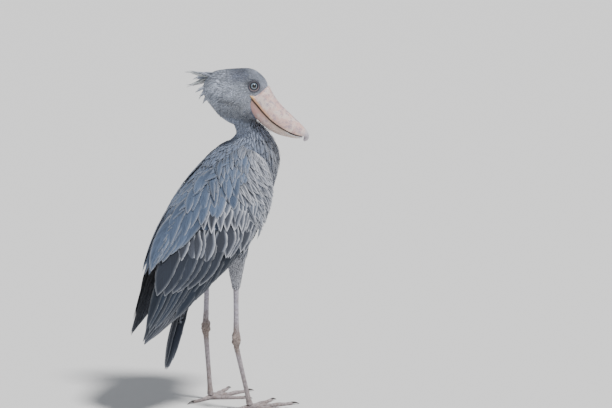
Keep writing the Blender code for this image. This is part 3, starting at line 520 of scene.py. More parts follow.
def ring_faces(rings, sides, closed=False):
    """Quads between rings of points, and the two end faces of an open run."""
    r = np.arange(rings if closed else rings - 1)[:, None]
    k = np.arange(sides)[None, :]
    a = r * sides + k
    b = r * sides + (k + 1) % sides
    total = rings * sides
    quads = np.stack([a, b, (b + sides) % total, (a + sides) % total], -1).reshape(-1, 4)
    if closed:
        return [quads]
    root = np.arange(sides)[::-1][None, :]
    tip = np.arange(sides)[None, :] + (rings - 1) * sides
    return [quads, root, tip]


def add_vectors(obj, name, values):
    """Three numbers for each point of the mesh."""
    attribute = obj.data.attributes.new(name, "FLOAT_VECTOR", "POINT")
    attribute.data.foreach_set("vector", np.asarray(values, np.float32).ravel())


def add_tone(obj, colours):
    """The coat's colour for each point of the mesh."""
    attribute = obj.data.attributes.new("tone", "FLOAT_COLOR", "POINT")
    full = np.concatenate([colours, np.ones(colours.shape[:-1] + (1,))], -1)
    attribute.data.foreach_set("color", full.astype(np.float32).ravel())


def add_map(obj, name, places):
    """A UV map from one place for each point of the mesh."""
    loops = np.empty(len(obj.data.loops), np.int32)
    obj.data.loops.foreach_get("vertex_index", loops)
    layer = obj.data.uv_layers.new(name=name)
    layer.data.foreach_set("uv", np.asarray(places, np.float32)[loops].ravel())


# Feathers

SECTIONS = {  # across the vane, from edge to edge and back underneath: place across, under side or not
    "tuft": ((-1.0, 0), (0.0, 0), (1.0, 0)),
    "small": ((-1.0, 0), (-0.5, 0), (0.0, 0), (0.5, 0), (1.0, 0), (0.0, 1)),
    "large": (
        (-1.0, 0), (-0.8, 0), (-0.5, 0), (-0.2, 0), (0.0, 0), (0.2, 0), (0.5, 0), (0.8, 0), (1.0, 0),
        (0.5, 1), (0.0, 1), (-0.5, 1),
    ),
}


def outline(root_end, tip_start, tip_power, tip_round):
    """A vane's width over its length: it swells from the root and closes towards the tip."""

    def width(t):
        root = 0.45 + 0.55 * smooth_step(0.0, root_end, t)
        closing = np.clip((t - tip_start) / (1 - tip_start), 0, 1) ** tip_power
        return root * np.maximum(np.maximum(1 - closing, 0.0) ** tip_round, 0.05)

    return width


def outline_pointed(t):
    """A narrow vane that tapers to a point."""
    root = 0.55 + 0.45 * smooth_step(0.0, 0.35, t)
    return root * (1 - 0.94 * smooth_step(0.35, 1.05, t) ** 1.2)


outline_long = outline(0.40, 0.58, 1.9, 0.85)  # nearly straight sides and a pointed tip
outline_oval = outline(0.50, 0.42, 1.85, 0.95)  # widest past its middle, narrowing to a point
outline_blunt = outline(0.50, 0.50, 2.2, 0.68)  # broad, with a rounded tip


class Vanes:
    """Feathers of one section and station count, gathered and built as one mesh."""

    def __init__(self, section, stations, outline, camber, seed, root_shade=ROOT_SHADE):
        self.t = eased(stations)
        self.section = np.array(SECTIONS[section])
        self.outline = outline
        self.camber = camber
        # Painted shade: each feather darkens towards its root, where it lies under its neighbours
        self.fade = 1 - root_shade * (1 - smooth_step(0.15, 0.65, self.t))
        self.rng = np.random.default_rng(seed)
        self.points, self.vane, self.tone, self.mark, self.map = [], [], [], [], []

    def add(self, lines, normals, half, tone, mark, spots, patch, tilt=0.0, ragged=0.04):
        """Feathers along lines (count, stations, 3): half widths, colours, marks and map places."""
        count, stations = lines.shape[:2]
        ahead = unit(np.gradient(lines, axis=1))
        side = unit(np.cross(ahead, normals))
        up = np.cross(side, ahead)
        t, (u, under) = self.t[:, None], self.section.T
        length = np.linalg.norm(np.diff(lines, axis=1), axis=-1).sum(1)[:, None, None]
        width = self.outline(t) * np.asarray(half)[:, None, None]
        rough = 1 + ragged * self.rng.normal(0, 1, (count, stations, 2))
        across = u * width * np.where(u < 0, rough[..., :1], rough[..., 1:])
        tilt = np.broadcast_to(np.asarray(tilt, float), (count,))[:, None, None]
        height = self.camber * (1 - u**2) * width + across * np.tan(tilt) - under * VANE_THICKNESS
        points = lines[:, :, None] + side[:, :, None] * across[..., None]
        points = points + up[:, :, None] * height[..., None]
        run = t * length
        rim = np.maximum(np.minimum(width - np.abs(across), length - run), 0.0)
        vane = np.stack(np.broadcast_arrays(across, run, rim), -1)
        patch = np.broadcast_to(np.asarray(patch, float), (count, 2))[:, None, None]
        place = spots[:, None, None] + np.stack(np.broadcast_arrays(u * 0.5, t - 0.5), -1) * patch
        shape = points.shape[:3] + (3,)
        self.points.append(points)
        self.vane.append(vane)
        self.tone.append(np.broadcast_to(tone[:, None, None, :] * self.fade[None, :, None, None], shape))
        self.mark.append(np.broadcast_to(mark[:, None, None, :], shape))
        self.map.append(np.broadcast_to(place, points.shape[:3] + (2,)))

    def build(self, name, material):
        """One mesh of all the feathers."""
        points = np.concatenate(self.points)
        count, stations, sides = points.shape[:3]
        quads, root, tip = ring_faces(stations, sides)
        offsets = (np.arange(count) * stations * sides)[:, None, None]
        faces = [(f[None] + offsets).reshape(-1, f.shape[1]) for f in (quads, root, tip)]
        made = mesh_piece(name, points, faces, material)
        add_vectors(made, "vane", np.concatenate(self.vane))
        add_tone(made, np.concatenate(self.tone))
        add_vectors(made, "mark", np.concatenate(self.mark))
        add_map(made, "OFBake", np.concatenate(self.map).reshape(-1, 2))
        return made


# Materials


class Nodes:
    """Short calls for a material's node tree."""

    def __init__(self, name):
        self.material = bpy.data.materials.new(name)
        self.material.use_nodes = True
        self.tree = self.material.node_tree
        self.shader = self.tree.nodes["Principled BSDF"]

    def node(self, kind, **settings):
        made = self.tree.nodes.new("ShaderNode" + kind)
        for key, value in settings.items():
            setattr(made, key, value)
        return made

    def link(self, value, socket):
        if isinstance(value, (int, float)):
            socket.default_value = value
        elif isinstance(value, (tuple, list, np.ndarray)):
            socket.default_value = (*value, 1.0) if len(socket.default_value) == 4 else tuple(value)
        else:
            self.tree.links.new(value, socket)

    def math(self, operation, *values):
        made = self.node("Math", operation=operation)
        for value, socket in zip(values, made.inputs):
            self.link(value, socket)
        return made.outputs[0]

    def product(self, a, b):
        return self.math("MULTIPLY", a, b)

    def combine(self, *values):
        """A vector of three numbers."""
        made = self.node("CombineXYZ")
        for value, socket in zip(values, made.inputs):
            self.link(value, socket)
        return made.outputs[0]

    def parts(self, name):
        """The three numbers of a vector attribute."""
        made = self.node("SeparateXYZ")
        self.link(self.attribute(name).outputs["Vector"], made.inputs[0])
        return made.outputs

    def ramp(self, value, low_end, high_end, low_value=0.0, high_value=1.0):
        made = self.node("MapRange", interpolation_type="SMOOTHSTEP")
        for item, socket in zip((value, low_end, high_end, low_value, high_value), made.inputs):
            self.link(item, socket)
        return made.outputs[0]

    def blend(self, amount, a, b, kind="MIX"):
        made = self.node("Mix", data_type="RGBA", blend_type=kind)
        self.link(amount, made.inputs[0])
        self.link(a, made.inputs[6])
        self.link(b, made.inputs[7])
        return made.outputs[2]

    def tint(self, base, amount, mask, colour):
        """The base, with a colour over it where the mask says so."""
        return self.blend(self.product(mask, amount), base, colour)

    def attribute(self, name):
        return self.node("Attribute", attribute_name=name)

    def place(self):
        return self.node("TexCoord").outputs["Object"]

    def noise(self, scale, detail, roughness, vector=None):
        made = self.node("TexNoise")
        self.link(scale, made.inputs["Scale"])
        self.link(detail, made.inputs["Detail"])
        self.link(roughness, made.inputs["Roughness"])
        self.tree.links.new(vector or self.place(), made.inputs["Vector"])
        return made.outputs["Fac"]

    def bump(self, height, strength, distance):
        made = self.node("Bump")
        self.link(strength, made.inputs["Strength"])
        self.link(distance, made.inputs["Distance"])
        self.link(height, made.inputs["Height"])
        self.tree.links.new(made.outputs[0], self.shader.inputs["Normal"])

    def finish(self, **inputs):
        for name, value in inputs.items():
            self.link(value, self.shader.inputs[name.replace("_", " ")])
        return self.material


def vane_material():
    """Feathers: shaft, barbs, dark centre streak and pale edge, by each vane's own measures."""
    n = Nodes("feathers")
    tone = n.attribute("tone").outputs["Color"]
    across, run, rim = n.parts("vane")
    edge, streak, chance = n.parts("mark")
    side = n.math("ABSOLUTE", across)
    barb = n.math("ADD", n.math("ADD", run, n.product(side, BARB_SLOPE)), n.product(chance, 3.0))
    place = n.combine(barb, n.product(across, 0.05), chance)
    strand = n.noise(700.0, 3.0, 0.65, place)
    clump = n.noise(170.0, 2.0, 0.6, place)
    shade = n.math("ADD", n.ramp(clump, 0.30, 0.70, 0.74, 1.16), n.ramp(strand, 0.25, 0.75, -0.14, 0.10))
    dimmed = n.node("VectorMath", operation="SCALE")
    n.link(tone, dimmed.inputs[0])
    n.link(n.product(shade, n.ramp(chance, 0.0, 1.0, 0.88, 1.12)), dimmed.inputs[3])
    wander = n.product(n.math("SUBTRACT", clump, 0.5), 0.006)
    centre = n.ramp(n.math("ADD", side, wander), 0.0010, 0.0085, 1.0, 0.0)
    centre = n.math("MAXIMUM", centre, n.ramp(n.math("ADD", rim, wander), 0.0045, 0.0120))
    colour = n.tint(dimmed.outputs[0], streak, centre, COLOUR["streak"])
    colour = n.tint(colour, edge, n.ramp(rim, 0.001, 0.010, 0.40, 0.0), COLOUR["edge"] * 0.8)
    reach = n.math("ADD", rim, n.product(wander, 0.5))
    wide = n.ramp(reach, 0.0006, n.math("ADD", n.product(edge, 0.0036), 0.0010), 1.0, 0.0)
    colour = n.tint(colour, n.math("MINIMUM", edge, 0.95), wide, COLOUR["edge"])
    shaft = n.ramp(side, 0.0002, 0.0007, 1.0, 0.0)
    colour = n.tint(colour, 0.40, shaft, COLOUR["streak"] * 0.7)
    n.bump(n.math("ADD", n.product(strand, 0.7), n.product(shaft, 0.8)), 0.6, 0.0005)
    n.shader.inputs["Sheen Weight"].default_value = 0.12
    n.shader.inputs["Sheen Roughness"].default_value = 0.5
    n.shader.inputs["Specular IOR Level"].default_value = 0.25
    return n.finish(Base_Color=colour, Roughness=n.ramp(strand, 0.2, 0.8, 0.64, 0.80))


def skin_material():
    """The down under the feathers, in the coat's own colours."""
    n = Nodes("down")
    tone = n.attribute("tone").outputs["Color"]
    fluff = n.noise(420.0, 4.0, 0.65)
    dark = n.blend(1.0, tone, (0.42, 0.44, 0.48), "MULTIPLY")
    colour = n.blend(n.ramp(fluff, 0.3, 0.7, 0.15, 0.7), tone, dark)
    n.bump(fluff, 0.8, 0.001)
    n.shader.inputs["Sheen Weight"].default_value = 0.2
    return n.finish(Base_Color=colour, Roughness=0.85)


# Skin


def body_place(rows, share, angle, lift):
    """Places on the neck or torso: angle is 0 at the front and a quarter turn on the left."""
    x, z, half_width, front, back, tilt = by_column(rows, share)
    tilt = np.radians(tilt)
    zero = np.zeros_like(x)
    ahead = np.stack([np.cos(tilt), zero, np.sin(tilt)], -1)
    c, s = np.cos(angle), np.sin(angle)
    reach = np.where(c > 0, front, back)
    sideways = np.stack([zero, zero + s, zero], -1)
    outward = unit(ahead * (c / reach)[..., None] + sideways / half_width[..., None])
    centre = np.stack([x, zero, z], -1)
    place = centre + ahead * (c * reach)[..., None] + sideways * half_width[..., None]
    return place + outward * lift


def head_place(share, angle, lift):
    """Places on the head: share from back to front, angle 0 at the top."""
    forward, top, bottom, half_width = by_column(HEAD, share)
    up = (top + bottom) / 2 + ((top - bottom) / 2 + lift) * np.cos(angle)
    return head_point(forward, (half_width + lift) * np.sin(angle), up)


def thigh_place(side, share, angle, lift):
    """Places on the thigh: angle is 0 at the front."""
    height, x, half_length, half_width = by_column(THIGH, share)
    x = x + ANKLE_X[side] - ANKLE_X["right"]
    x = x + (half_length + lift) * np.cos(angle)
    y = leg_column_y(side, height) + (half_width + lift) * np.sin(angle)
    return np.stack([x, y, height], -1)


def tail_line(share, spread, lift):
    """Places in the tail: share from root to tip, spread in feathers from the middle."""
    root, tip = np.array(TAIL_ROOT), np.array(TAIL_TIP)
    spacing = TAIL_SPACING_ROOT + (TAIL_SPACING_TIP - TAIL_SPACING_ROOT) * share
    curve = TAIL_CURVE * np.sin(np.pi * share)
    line = root + (tip - root) * share[..., None]
    line = line + np.stack([0 * spacing, spread * spacing, 0 * spacing], -1)
    return line + tail_back() * (lift + curve)[..., None]


def tail_back():
    """The direction out of the tail's sheet."""
    axis = unit(np.array(TAIL_TIP) - np.array(TAIL_ROOT))
    return np.array((axis[2], 0, -axis[0]))


def ankle_base(side):
    """The lower end of the ankle, where the tarsus starts."""
    height = SOLE_TO_TARSUS + TARSUS_LENGTH * math.cos(TARSUS_LEAN[side])
    return np.array((ANKLE_X[side], SIDE_SIGN[side] * STANCE_HALF_WIDTH, height))


def leg_column_y(side, height):
    """How far out the leg stands at a height."""
    base = ankle_base(side)
    top = base[2] + ANKLE_HEIGHT
    share = np.maximum((height - top) / (THIGH[0][0] - top), 0.0)
    return base[1] * (1 - LEG_INWARD * share)


def grid_shell(place, rows, sides):
    """A closed shell from a function of share and angle: its points and faces."""
    share, angle = round_grid(0, 1, rows, sides)
    return place(share, angle).reshape(-1, 3), ring_faces(rows, sides)


def wing_shell(side):
    """The wing's flesh, the coat's depth under its sheet."""
    share, chord = flat_grid((0.01, WING_CORE_END, 60), (0.03, 0.97, 40))
    outer = wing_sheet(share, chord) - wing_normal(share, chord) * BODY_DEPTH
    inside = wing_sheet(share, 0.5 + 0 * chord)
    inside[..., 1] = 0.0
    inward = unit(inside - outer) * (WING_THICKNESS * (1 - share) + 0.001)[..., None]
    ring = np.concatenate([outer, (outer + inward)[:, ::-1]], 1)
    if side == "left":
        ring = ring * np.array((1, -1, 1))
    return ring.reshape(-1, 3), ring_faces(60, 80)


def tail_shell():
    """The tail's short core."""

    def place(share, angle):
        depth = TAIL_CORE_DEPTH - TAIL_CORE_TAPER * share
        centre = tail_line(share * TAIL_CORE_END, 0.0, -0.002)
        across = np.stack([0 * angle, TAIL_CORE_HALF * np.sin(angle), 0 * angle], -1)
        return centre - tail_back() * (depth * np.cos(angle))[..., None] + across

    return grid_shell(place, 20, 24)


def join_shells(shells):
    """The points and faces of several shells as one."""
    points, faces, first = [], [], 0
    for own_points, own_faces in shells:
        points.append(own_points)
        faces += [f + first for f in own_faces]
        first += len(own_points)
    return np.concatenate(points), faces


def mesh_points(obj):
    """The mesh's points in the bird's coordinates, and their normals."""
    count = len(obj.data.vertices)
    points, normals = np.empty(count * 3, np.float32), np.empty(count * 3, np.float32)
    obj.data.vertices.foreach_get("co", points)
    obj.data.vertices.foreach_get("normal", normals)
    return points.reshape(-1, 3).astype(float) - np.array(PLACE), normals.reshape(-1, 3).astype(float)


def move_points(obj, points):
    obj.data.vertices.foreach_set("co", (points + np.array(PLACE)).astype(np.float32).ravel())
    obj.data.update()


def fuse(obj, voxel, rounds):
    """Makes one smooth surface of the object's overlapping shells."""
    remesh = obj.modifiers.new("Remesh", "REMESH")
    remesh.mode = "VOXEL"
    remesh.voxel_size = voxel
    smooth = obj.modifiers.new("Smooth", "SMOOTH")
    smooth.factor, smooth.iterations = 0.5, rounds
    apply_modifiers(obj)
    obj.data.shade_smooth()


def apply_modifiers(obj):
    """Replaces the object's mesh by the one its modifiers make."""
    materials = list(obj.data.materials)
    graph = bpy.context.evaluated_depsgraph_get()
    mesh = bpy.data.meshes.new_from_object(obj.evaluated_get(graph))
    obj.modifiers.clear()
    obj.data = mesh
    mesh.materials.clear()
    for material in materials:
        mesh.materials.append(material)


def body_inset(rows):
    def place(share, angle):
        return body_place(rows, share, angle, -BODY_DEPTH)

    return place


def head_inset(share, angle):
    depth = BODY_DEPTH + (FACE_DEPTH - BODY_DEPTH) * smooth_step(0.35, 0.65, share)
    return head_place(share, angle, -depth)


def eye_frame(side):
    """The eye's centre, the way it looks, and two directions across."""
    place, out = cheek(side, EYE_ALONG, EYE_HEIGHT)
    level = unit(np.cross(out, (0.0, 0.0, 1.0)))
    return place - out * EYE_SUNK, out, level, np.cross(level, out)


def make_skin():
    """One skin under all the feathers."""
    shells = [grid_shell(body_inset(NECK), 30, 64), grid_shell(body_inset(TORSO), 90, 72)]
    shells += [grid_shell(head_inset, 60, 64), tail_shell()]
    for side in SIDE_SIGN:
        shells.append(wing_shell(side))
        shells.append(grid_shell(lambda s, a, side=side: thigh_place(side, s, a, -THIGH_DEPTH), 30, 32))
    skin = mesh_piece("skin", *join_shells(shells), skin_material())
    fuse(skin, SKIN_VOXEL, 6)
    points, _ = mesh_points(skin)
    for side in SIDE_SIGN:
        centre, out, _, _ = eye_frame(side)
        away = points - centre
        reach = np.linalg.norm(away, axis=1, keepdims=True)
        near = (reach < EYE_RADIUS + 0.004) & ((away @ out)[:, None] > -0.004)
        hollow = centre + away / reach * (EYE_RADIUS * EYE_HOLLOW)
        points = np.where(near, hollow, points)
    move_points(skin, points)
    under = np.where(is_thigh(points), THIGH_SKIN_TONE, SKIN_TONE)
    add_tone(skin, body_tone(points) * under[:, None])
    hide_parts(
        "torso", "neck", "head", "wing_left", "wing_right", "tail", "thigh_left", "thigh_right"
    )
    return skin


def ripple(points, scale, seed):
    """A soft random number from -1 to 1 for each place, from a few waves."""
    rng = np.random.default_rng(seed)
    total = np.zeros(points.shape[:-1])
    for _ in range(RIPPLE_WAVES):
        total += np.sin(points @ (rng.normal(0, 1, 3) * scale) + rng.uniform(0, 6.28))
    return total / RIPPLE_WAVES * 1.6


def bump_at(value, width):
    """1 at zero, falling off softly over the width."""
    return np.exp(-((value / width) ** 2))


def face_patch(name, forward, up, slope=0.0):
    """How strongly a patch of the face covers places in the head's frame."""
    at, reach, height, rise = FACE[name]
    return bump_at(forward - at, reach) * bump_at(up - height + slope * (forward - at), rise)


def body_tone(points):
    """The coat's colour at places of the skin."""
    forward, _, up = in_head(points)
    x, z = points[:, 0], points[:, 2]
    front = smooth_step(-0.03, 0.05, x - middle_line(z))
    colour = mix(COLOUR["mantle"], COLOUR["breast"], front)
    colour = mix(colour, COLOUR["belly"], (1 - smooth_step(0.50, 0.68, z)) * 0.8)
    colour = mix(colour, COLOUR["neck"], smooth_step(0.87, 0.95, z))
    patch = smooth_step(-0.075, -0.040, forward) * (1 - 0.75 * smooth_step(-0.010, 0.012, forward))
    face = mix(COLOUR["head"], COLOUR["crown"], patch * smooth_step(0.035, 0.060, up))
    # Painted shade: the lower rear of the head and its underside are darkened as if turned from the light
    low_cheek_shade = (1 - smooth_step(-0.060, -0.015, up)) * smooth_step(-0.15, -0.09, forward)
    face = mix(face, COLOUR["cheek"], low_cheek_shade)
    underside_shade = (1 - smooth_step(-0.090, -0.050, up)) * smooth_step(-0.15, -0.10, forward)
    face = face * (1 - 0.40 * underside_shade)[:, None]
    ear = face_patch("ear", forward, up, EAR_SLOPE)
    face = face * (1 - 0.72 * ear * smooth_step(-1.0, 0.1, ripple(points, 260.0, 11)))[:, None]
    face = face * (1 + 0.26 * face_patch("pale", forward, up))[:, None]
    spots = smooth_step(0.05, 0.50, ripple(points, 210.0, 7)) * face_patch("mottled", forward, up)
    face = face * (1 - 0.62 * spots)[:, None]
    uneven = 0.18 * ripple(points, 95.0, 9) + 0.20 * ripple(points, 240.0, 12)
    uneven = uneven + 0.15 * ripple(points, 520.0, 13)
    face = face * (1 + uneven)[:, None]
    for side in SIDE_SIGN:
        centre, _, _, rise = eye_frame(side)
        away = points - centre
        ring = bump_at(np.linalg.norm(away, axis=1) - 0.0185, 0.0085)
        over = np.clip((away @ rise) / 0.018, -0.6, 1.0)
        face = face * (1 - ring * (0.56 + 0.26 * over))[:, None]
    colour = mix(colour, face, head_share(points))
    colour = np.where(is_thigh(points)[:, None], COLOUR["thigh"], colour)
    shade = 1 + 0.11 * ripple(points, 60.0, 4) + 0.07 * ripple(points, 170.0, 5)
    return colour * shade[:, None]


def middle_line(z):
    """How far forward the middle of the body is at a height."""
    return np.interp(z, [0.408, 0.6, 0.79, 0.883, 1.0], [-0.124, -0.016, 0.09, 0.122, 0.062])


# Coat on the skin


def surface_samples(obj, count, rng):
    """Random places on the mesh, evenly by area, with normals."""
    mesh = obj.data
    mesh.calc_loop_triangles()
    corners = np.empty(len(mesh.loop_triangles) * 3, np.int32)
    mesh.loop_triangles.foreach_get("vertices", corners)
    points, _ = mesh_points(obj)
    a, b, c = (points[corners.reshape(-1, 3)[:, k]] for k in range(3))
    cross = np.cross(b - a, c - a)
    area = np.linalg.norm(cross, axis=1)
    chosen = rng.choice(len(area), count, p=area / area.sum())
    u, v = rng.uniform(0, 1, (2, count, 1))
    flip = u + v > 1
    u, v = np.where(flip, 1 - u, u), np.where(flip, 1 - v, v)
    place = a[chosen] + (b - a)[chosen] * u + (c - a)[chosen] * v
    return place, unit(cross[chosen])


def thinned(points, spacing):
    """Which of the points to keep so that no two are nearer than the spacing."""
    cells, kept = {}, []
    keys = np.floor(points / spacing).astype(int)
    near = [(i, j, k) for i in (-1, 0, 1) for j in (-1, 0, 1) for k in (-1, 0, 1)]
    for index, ((a, b, c), (u, v, w)) in enumerate(zip(points.tolist(), keys.tolist())):
        others = (other for i, j, k in near for other in cells.get((u + i, v + j, w + k), ()))
        if all((a - x) ** 2 + (b - y) ** 2 + (c - z) ** 2 >= spacing**2 for x, y, z in others):
            cells.setdefault((u, v, w), []).append((a, b, c))
            kept.append(index)
    return np.array(kept, int)


def comb(tree, roots, directions, lengths, stations, low, high):
    """Lines that start at the roots and lie along the surface, rising from low to high over it."""
    count = len(roots)
    t = eased(stations)
    lines, normals = np.empty((count, stations, 3)), np.empty((count, stations, 3))
    shift = np.array(PLACE)
    for i in range(count):
        place, ahead, done = roots[i], directions[i], 0.0
        for k in range(stations):
            place = place + ahead * (lengths[i] * (t[k] - done))
            done = t[k]
            spot, normal, _, _ = tree.find_nearest(place + shift)
            normal = np.array(normal)
            place = np.array(spot) - shift
            ahead = ahead - normal * (ahead @ normal)
            ahead = ahead / max(np.linalg.norm(ahead), 1e-9)
            lines[i, k] = place + normal * (low + (high[i] - low) * t[k] ** LIE_POWER)
            normals[i, k] = normal
    return lines, normals


def lie(points, normals):
    """The way that the coat lies at places on the skin."""
    forward, _, up = in_head(points)
    c, s = math.cos(HEAD_YAW), math.sin(HEAD_YAW)
    z = points[:, 2]
    back = np.array((-c, -s, 0.0))
    down = np.array((0.0, 0.0, -1.0))
    drop = 0.15 + 0.9 * (1 - smooth_step(-0.06, 0.05, up)) + 0.5 * (1 - smooth_step(-0.15, -0.10, forward))
    head = unit(back + down * drop[:, None])
    neck = np.broadcast_to(np.array((-0.10, 0.0, -1.0)), points.shape)
    torso = np.array((-0.42, 0.0, -0.90))
    breast = np.array((-0.12, 0.0, -1.0))
    front = smooth_step(-0.02, 0.06, points[:, 0] - middle_line(z)) * smooth_step(0.58, 0.72, z)
    flow = mix(torso, breast, front)
    flow = mix(flow, neck, smooth_step(0.86, 0.92, z))
    flow = mix(flow, head, head_share(points))
    flow = flow - normals * np.sum(flow * normals, -1, keepdims=True)
    return unit(flow)


def body_unwrap(points):
    """Places on an unwrap of the body and neck round their long axis."""
    z = points[:, 2]
    turn = np.arctan2(points[:, 1], points[:, 0] - middle_line(z)) / (2 * np.pi) + 0.5
    return np.stack([0.02 + 0.96 * turn, 0.02 + 0.96 * np.clip((z - 0.35) / 0.72, 0, 1)], -1)


def head_unwrap(points):
    """Places on an unwrap of the head round its own axis."""
    forward, left, up = in_head(points)
    turn = np.arctan2(left, up) / (2 * np.pi) + 0.5
    return np.stack([0.02 + 0.96 * turn, 0.02 + 0.96 * np.clip((forward + 0.16) / 0.23, 0, 1)], -1)


def head_share(points):
    """0 on the body, 1 on the head."""
    return smooth_step(HEAD_START, HEAD_FULL, points[:, 2] + 0.25 * (points[:, 0] - 0.06))


def wing_trees():
    """Search trees of the two wing sheets."""
    share, chord = flat_grid((0, 1, 60), (0, 1, 24))
    points = wing_sheet(share, chord).reshape(-1, 3)
    r, k = np.meshgrid(np.arange(59), np.arange(23), indexing="ij")
    a = (r * 24 + k).ravel()
    quads = np.stack([a, a + 1, a + 25, a + 24], -1).tolist()
    return [BVHTree.FromPolygons((points * np.array((1, sign, 1))).tolist(), quads) for sign in (1, -1)]


def under_wing(points, trees, reach):
    """Whether places lie within reach of a wing's sheet."""

    def near(place):
        return any(tree.find_nearest(place, reach)[0] is not None for tree in trees)

    return np.array([near(place) for place in points])


def facing_marks(count, edge, streak, rng):
    """Strength of the pale edge and the dark streak, and a random number, for each feather."""
    edges, streaks = edge * rng.uniform(0.6, 1.2, count), streak * rng.uniform(0.6, 1.2, count)
    return np.stack([edges, streaks, rng.uniform(0, 1, count)], -1)


def clear_of(points, trees, clearance):
    """Whether places are outside closed surfaces."""

    def inside(place, tree):
        spot, normal, _, _ = tree.find_nearest(place)
        depth = (place - spot).dot(normal)
        return depth < clearance and depth < -0.7 * (place - spot).length

    places = (Vector(place) for place in points + np.array(PLACE))
    return np.array([not any(inside(place, tree) for tree in trees) for place in places])


def plumage_piece(name, shape, feathers, material, patch=PATCH, ragged=0.04):
    """One piece of small feathers: shape is what Vanes takes, feathers what it gathers."""
    vanes = Vanes(*shape)
    vanes.add(*feathers, patch, ragged=ragged)
    made = vanes.build(name, material)
    return made


def make_head_coat(skin, tree, bills, material):
    """Small feathers over the head, longest at the nape, and up to the bill's edge."""
    rng = np.random.default_rng(21)
    points, normals = surface_samples(skin, HEAD_SAMPLES, rng)
    on_head = head_share(points) > 0.5
    points, normals = points[on_head], normals[on_head]
    for side in SIDE_SIGN:
        centre, out, level, above = eye_frame(side)
        away = points - centre
        ellipse = np.hypot((away @ level) / EYE_WIDER, (away @ above))
        over = np.clip((away @ above) / 0.014, -1, 1)
        clear = (ellipse > EYE_CLEAR - EYE_CLEAR_BROW * over) | ((away @ out) < -0.004)
        points, normals = points[clear], normals[clear]
    keep = thinned(points, HEAD_SPACING)
    points, normals = points[keep], normals[keep]
    keep = clear_of(points, bills, -0.0004)
    points, normals = points[keep], normals[keep]
    forward, left, up = in_head(points)
    rear = 1 - smooth_step(-0.13, -0.03, forward)
    fine = smooth_step(0.0, 0.035, forward)
    length = HEAD_LENGTH + NAPE_LONGER * rear - FACE_SHORTER * fine
    length = length * rng.uniform(0.75, 1.3, len(points))
    half = HEAD_HALF + NAPE_WIDER * rear - FACE_NARROWER * fine
    rise = HEAD_RISE + NAPE_RISE * rear * rng.uniform(0.2, 1.6, len(points))
    direction = unit(lie(points, normals) + rng.normal(0, 0.13, points.shape))
    for side in SIDE_SIGN:
        centre, _, _, above = eye_frame(side)
        away = points - centre
        off = np.linalg.norm(away, axis=1)
        brow = bump_at(off - 0.0175, 0.0050) * smooth_step(0.35, 0.75, (away @ above) / off)
        direction = unit(direction - above * (0.75 * brow)[:, None])
        rise = rise + BROW_RISE * brow
        length = length * (1 - 0.25 * brow)
    lines = comb(tree, points, direction, length, HEAD_STATIONS, -HEAD_SUNK, rise)
    tone = body_tone(points) * rng.uniform(0.80, 1.14, (len(points), 1))
    marks = facing_marks(len(points), 0.16, 0.10, rng)
    marks[:, 0] += 0.5 * face_patch("edged", forward, up) * rng.uniform(0, 1, len(points))
    half = half * rng.uniform(0.8, 1.2, len(points))
    feathers = (*lines, half, tone, marks, head_unwrap(points))
    shape = ("tuft", HEAD_STATIONS, outline_pointed, 0.08, 22, HEAD_ROOT_SHADE)
    return [
        plumage_piece(name, shape, [values[part] for values in feathers], material, ragged=0.08)
        for name, part in (("coat_head_right", left < 0), ("coat_head_left", left >= 0))
    ]


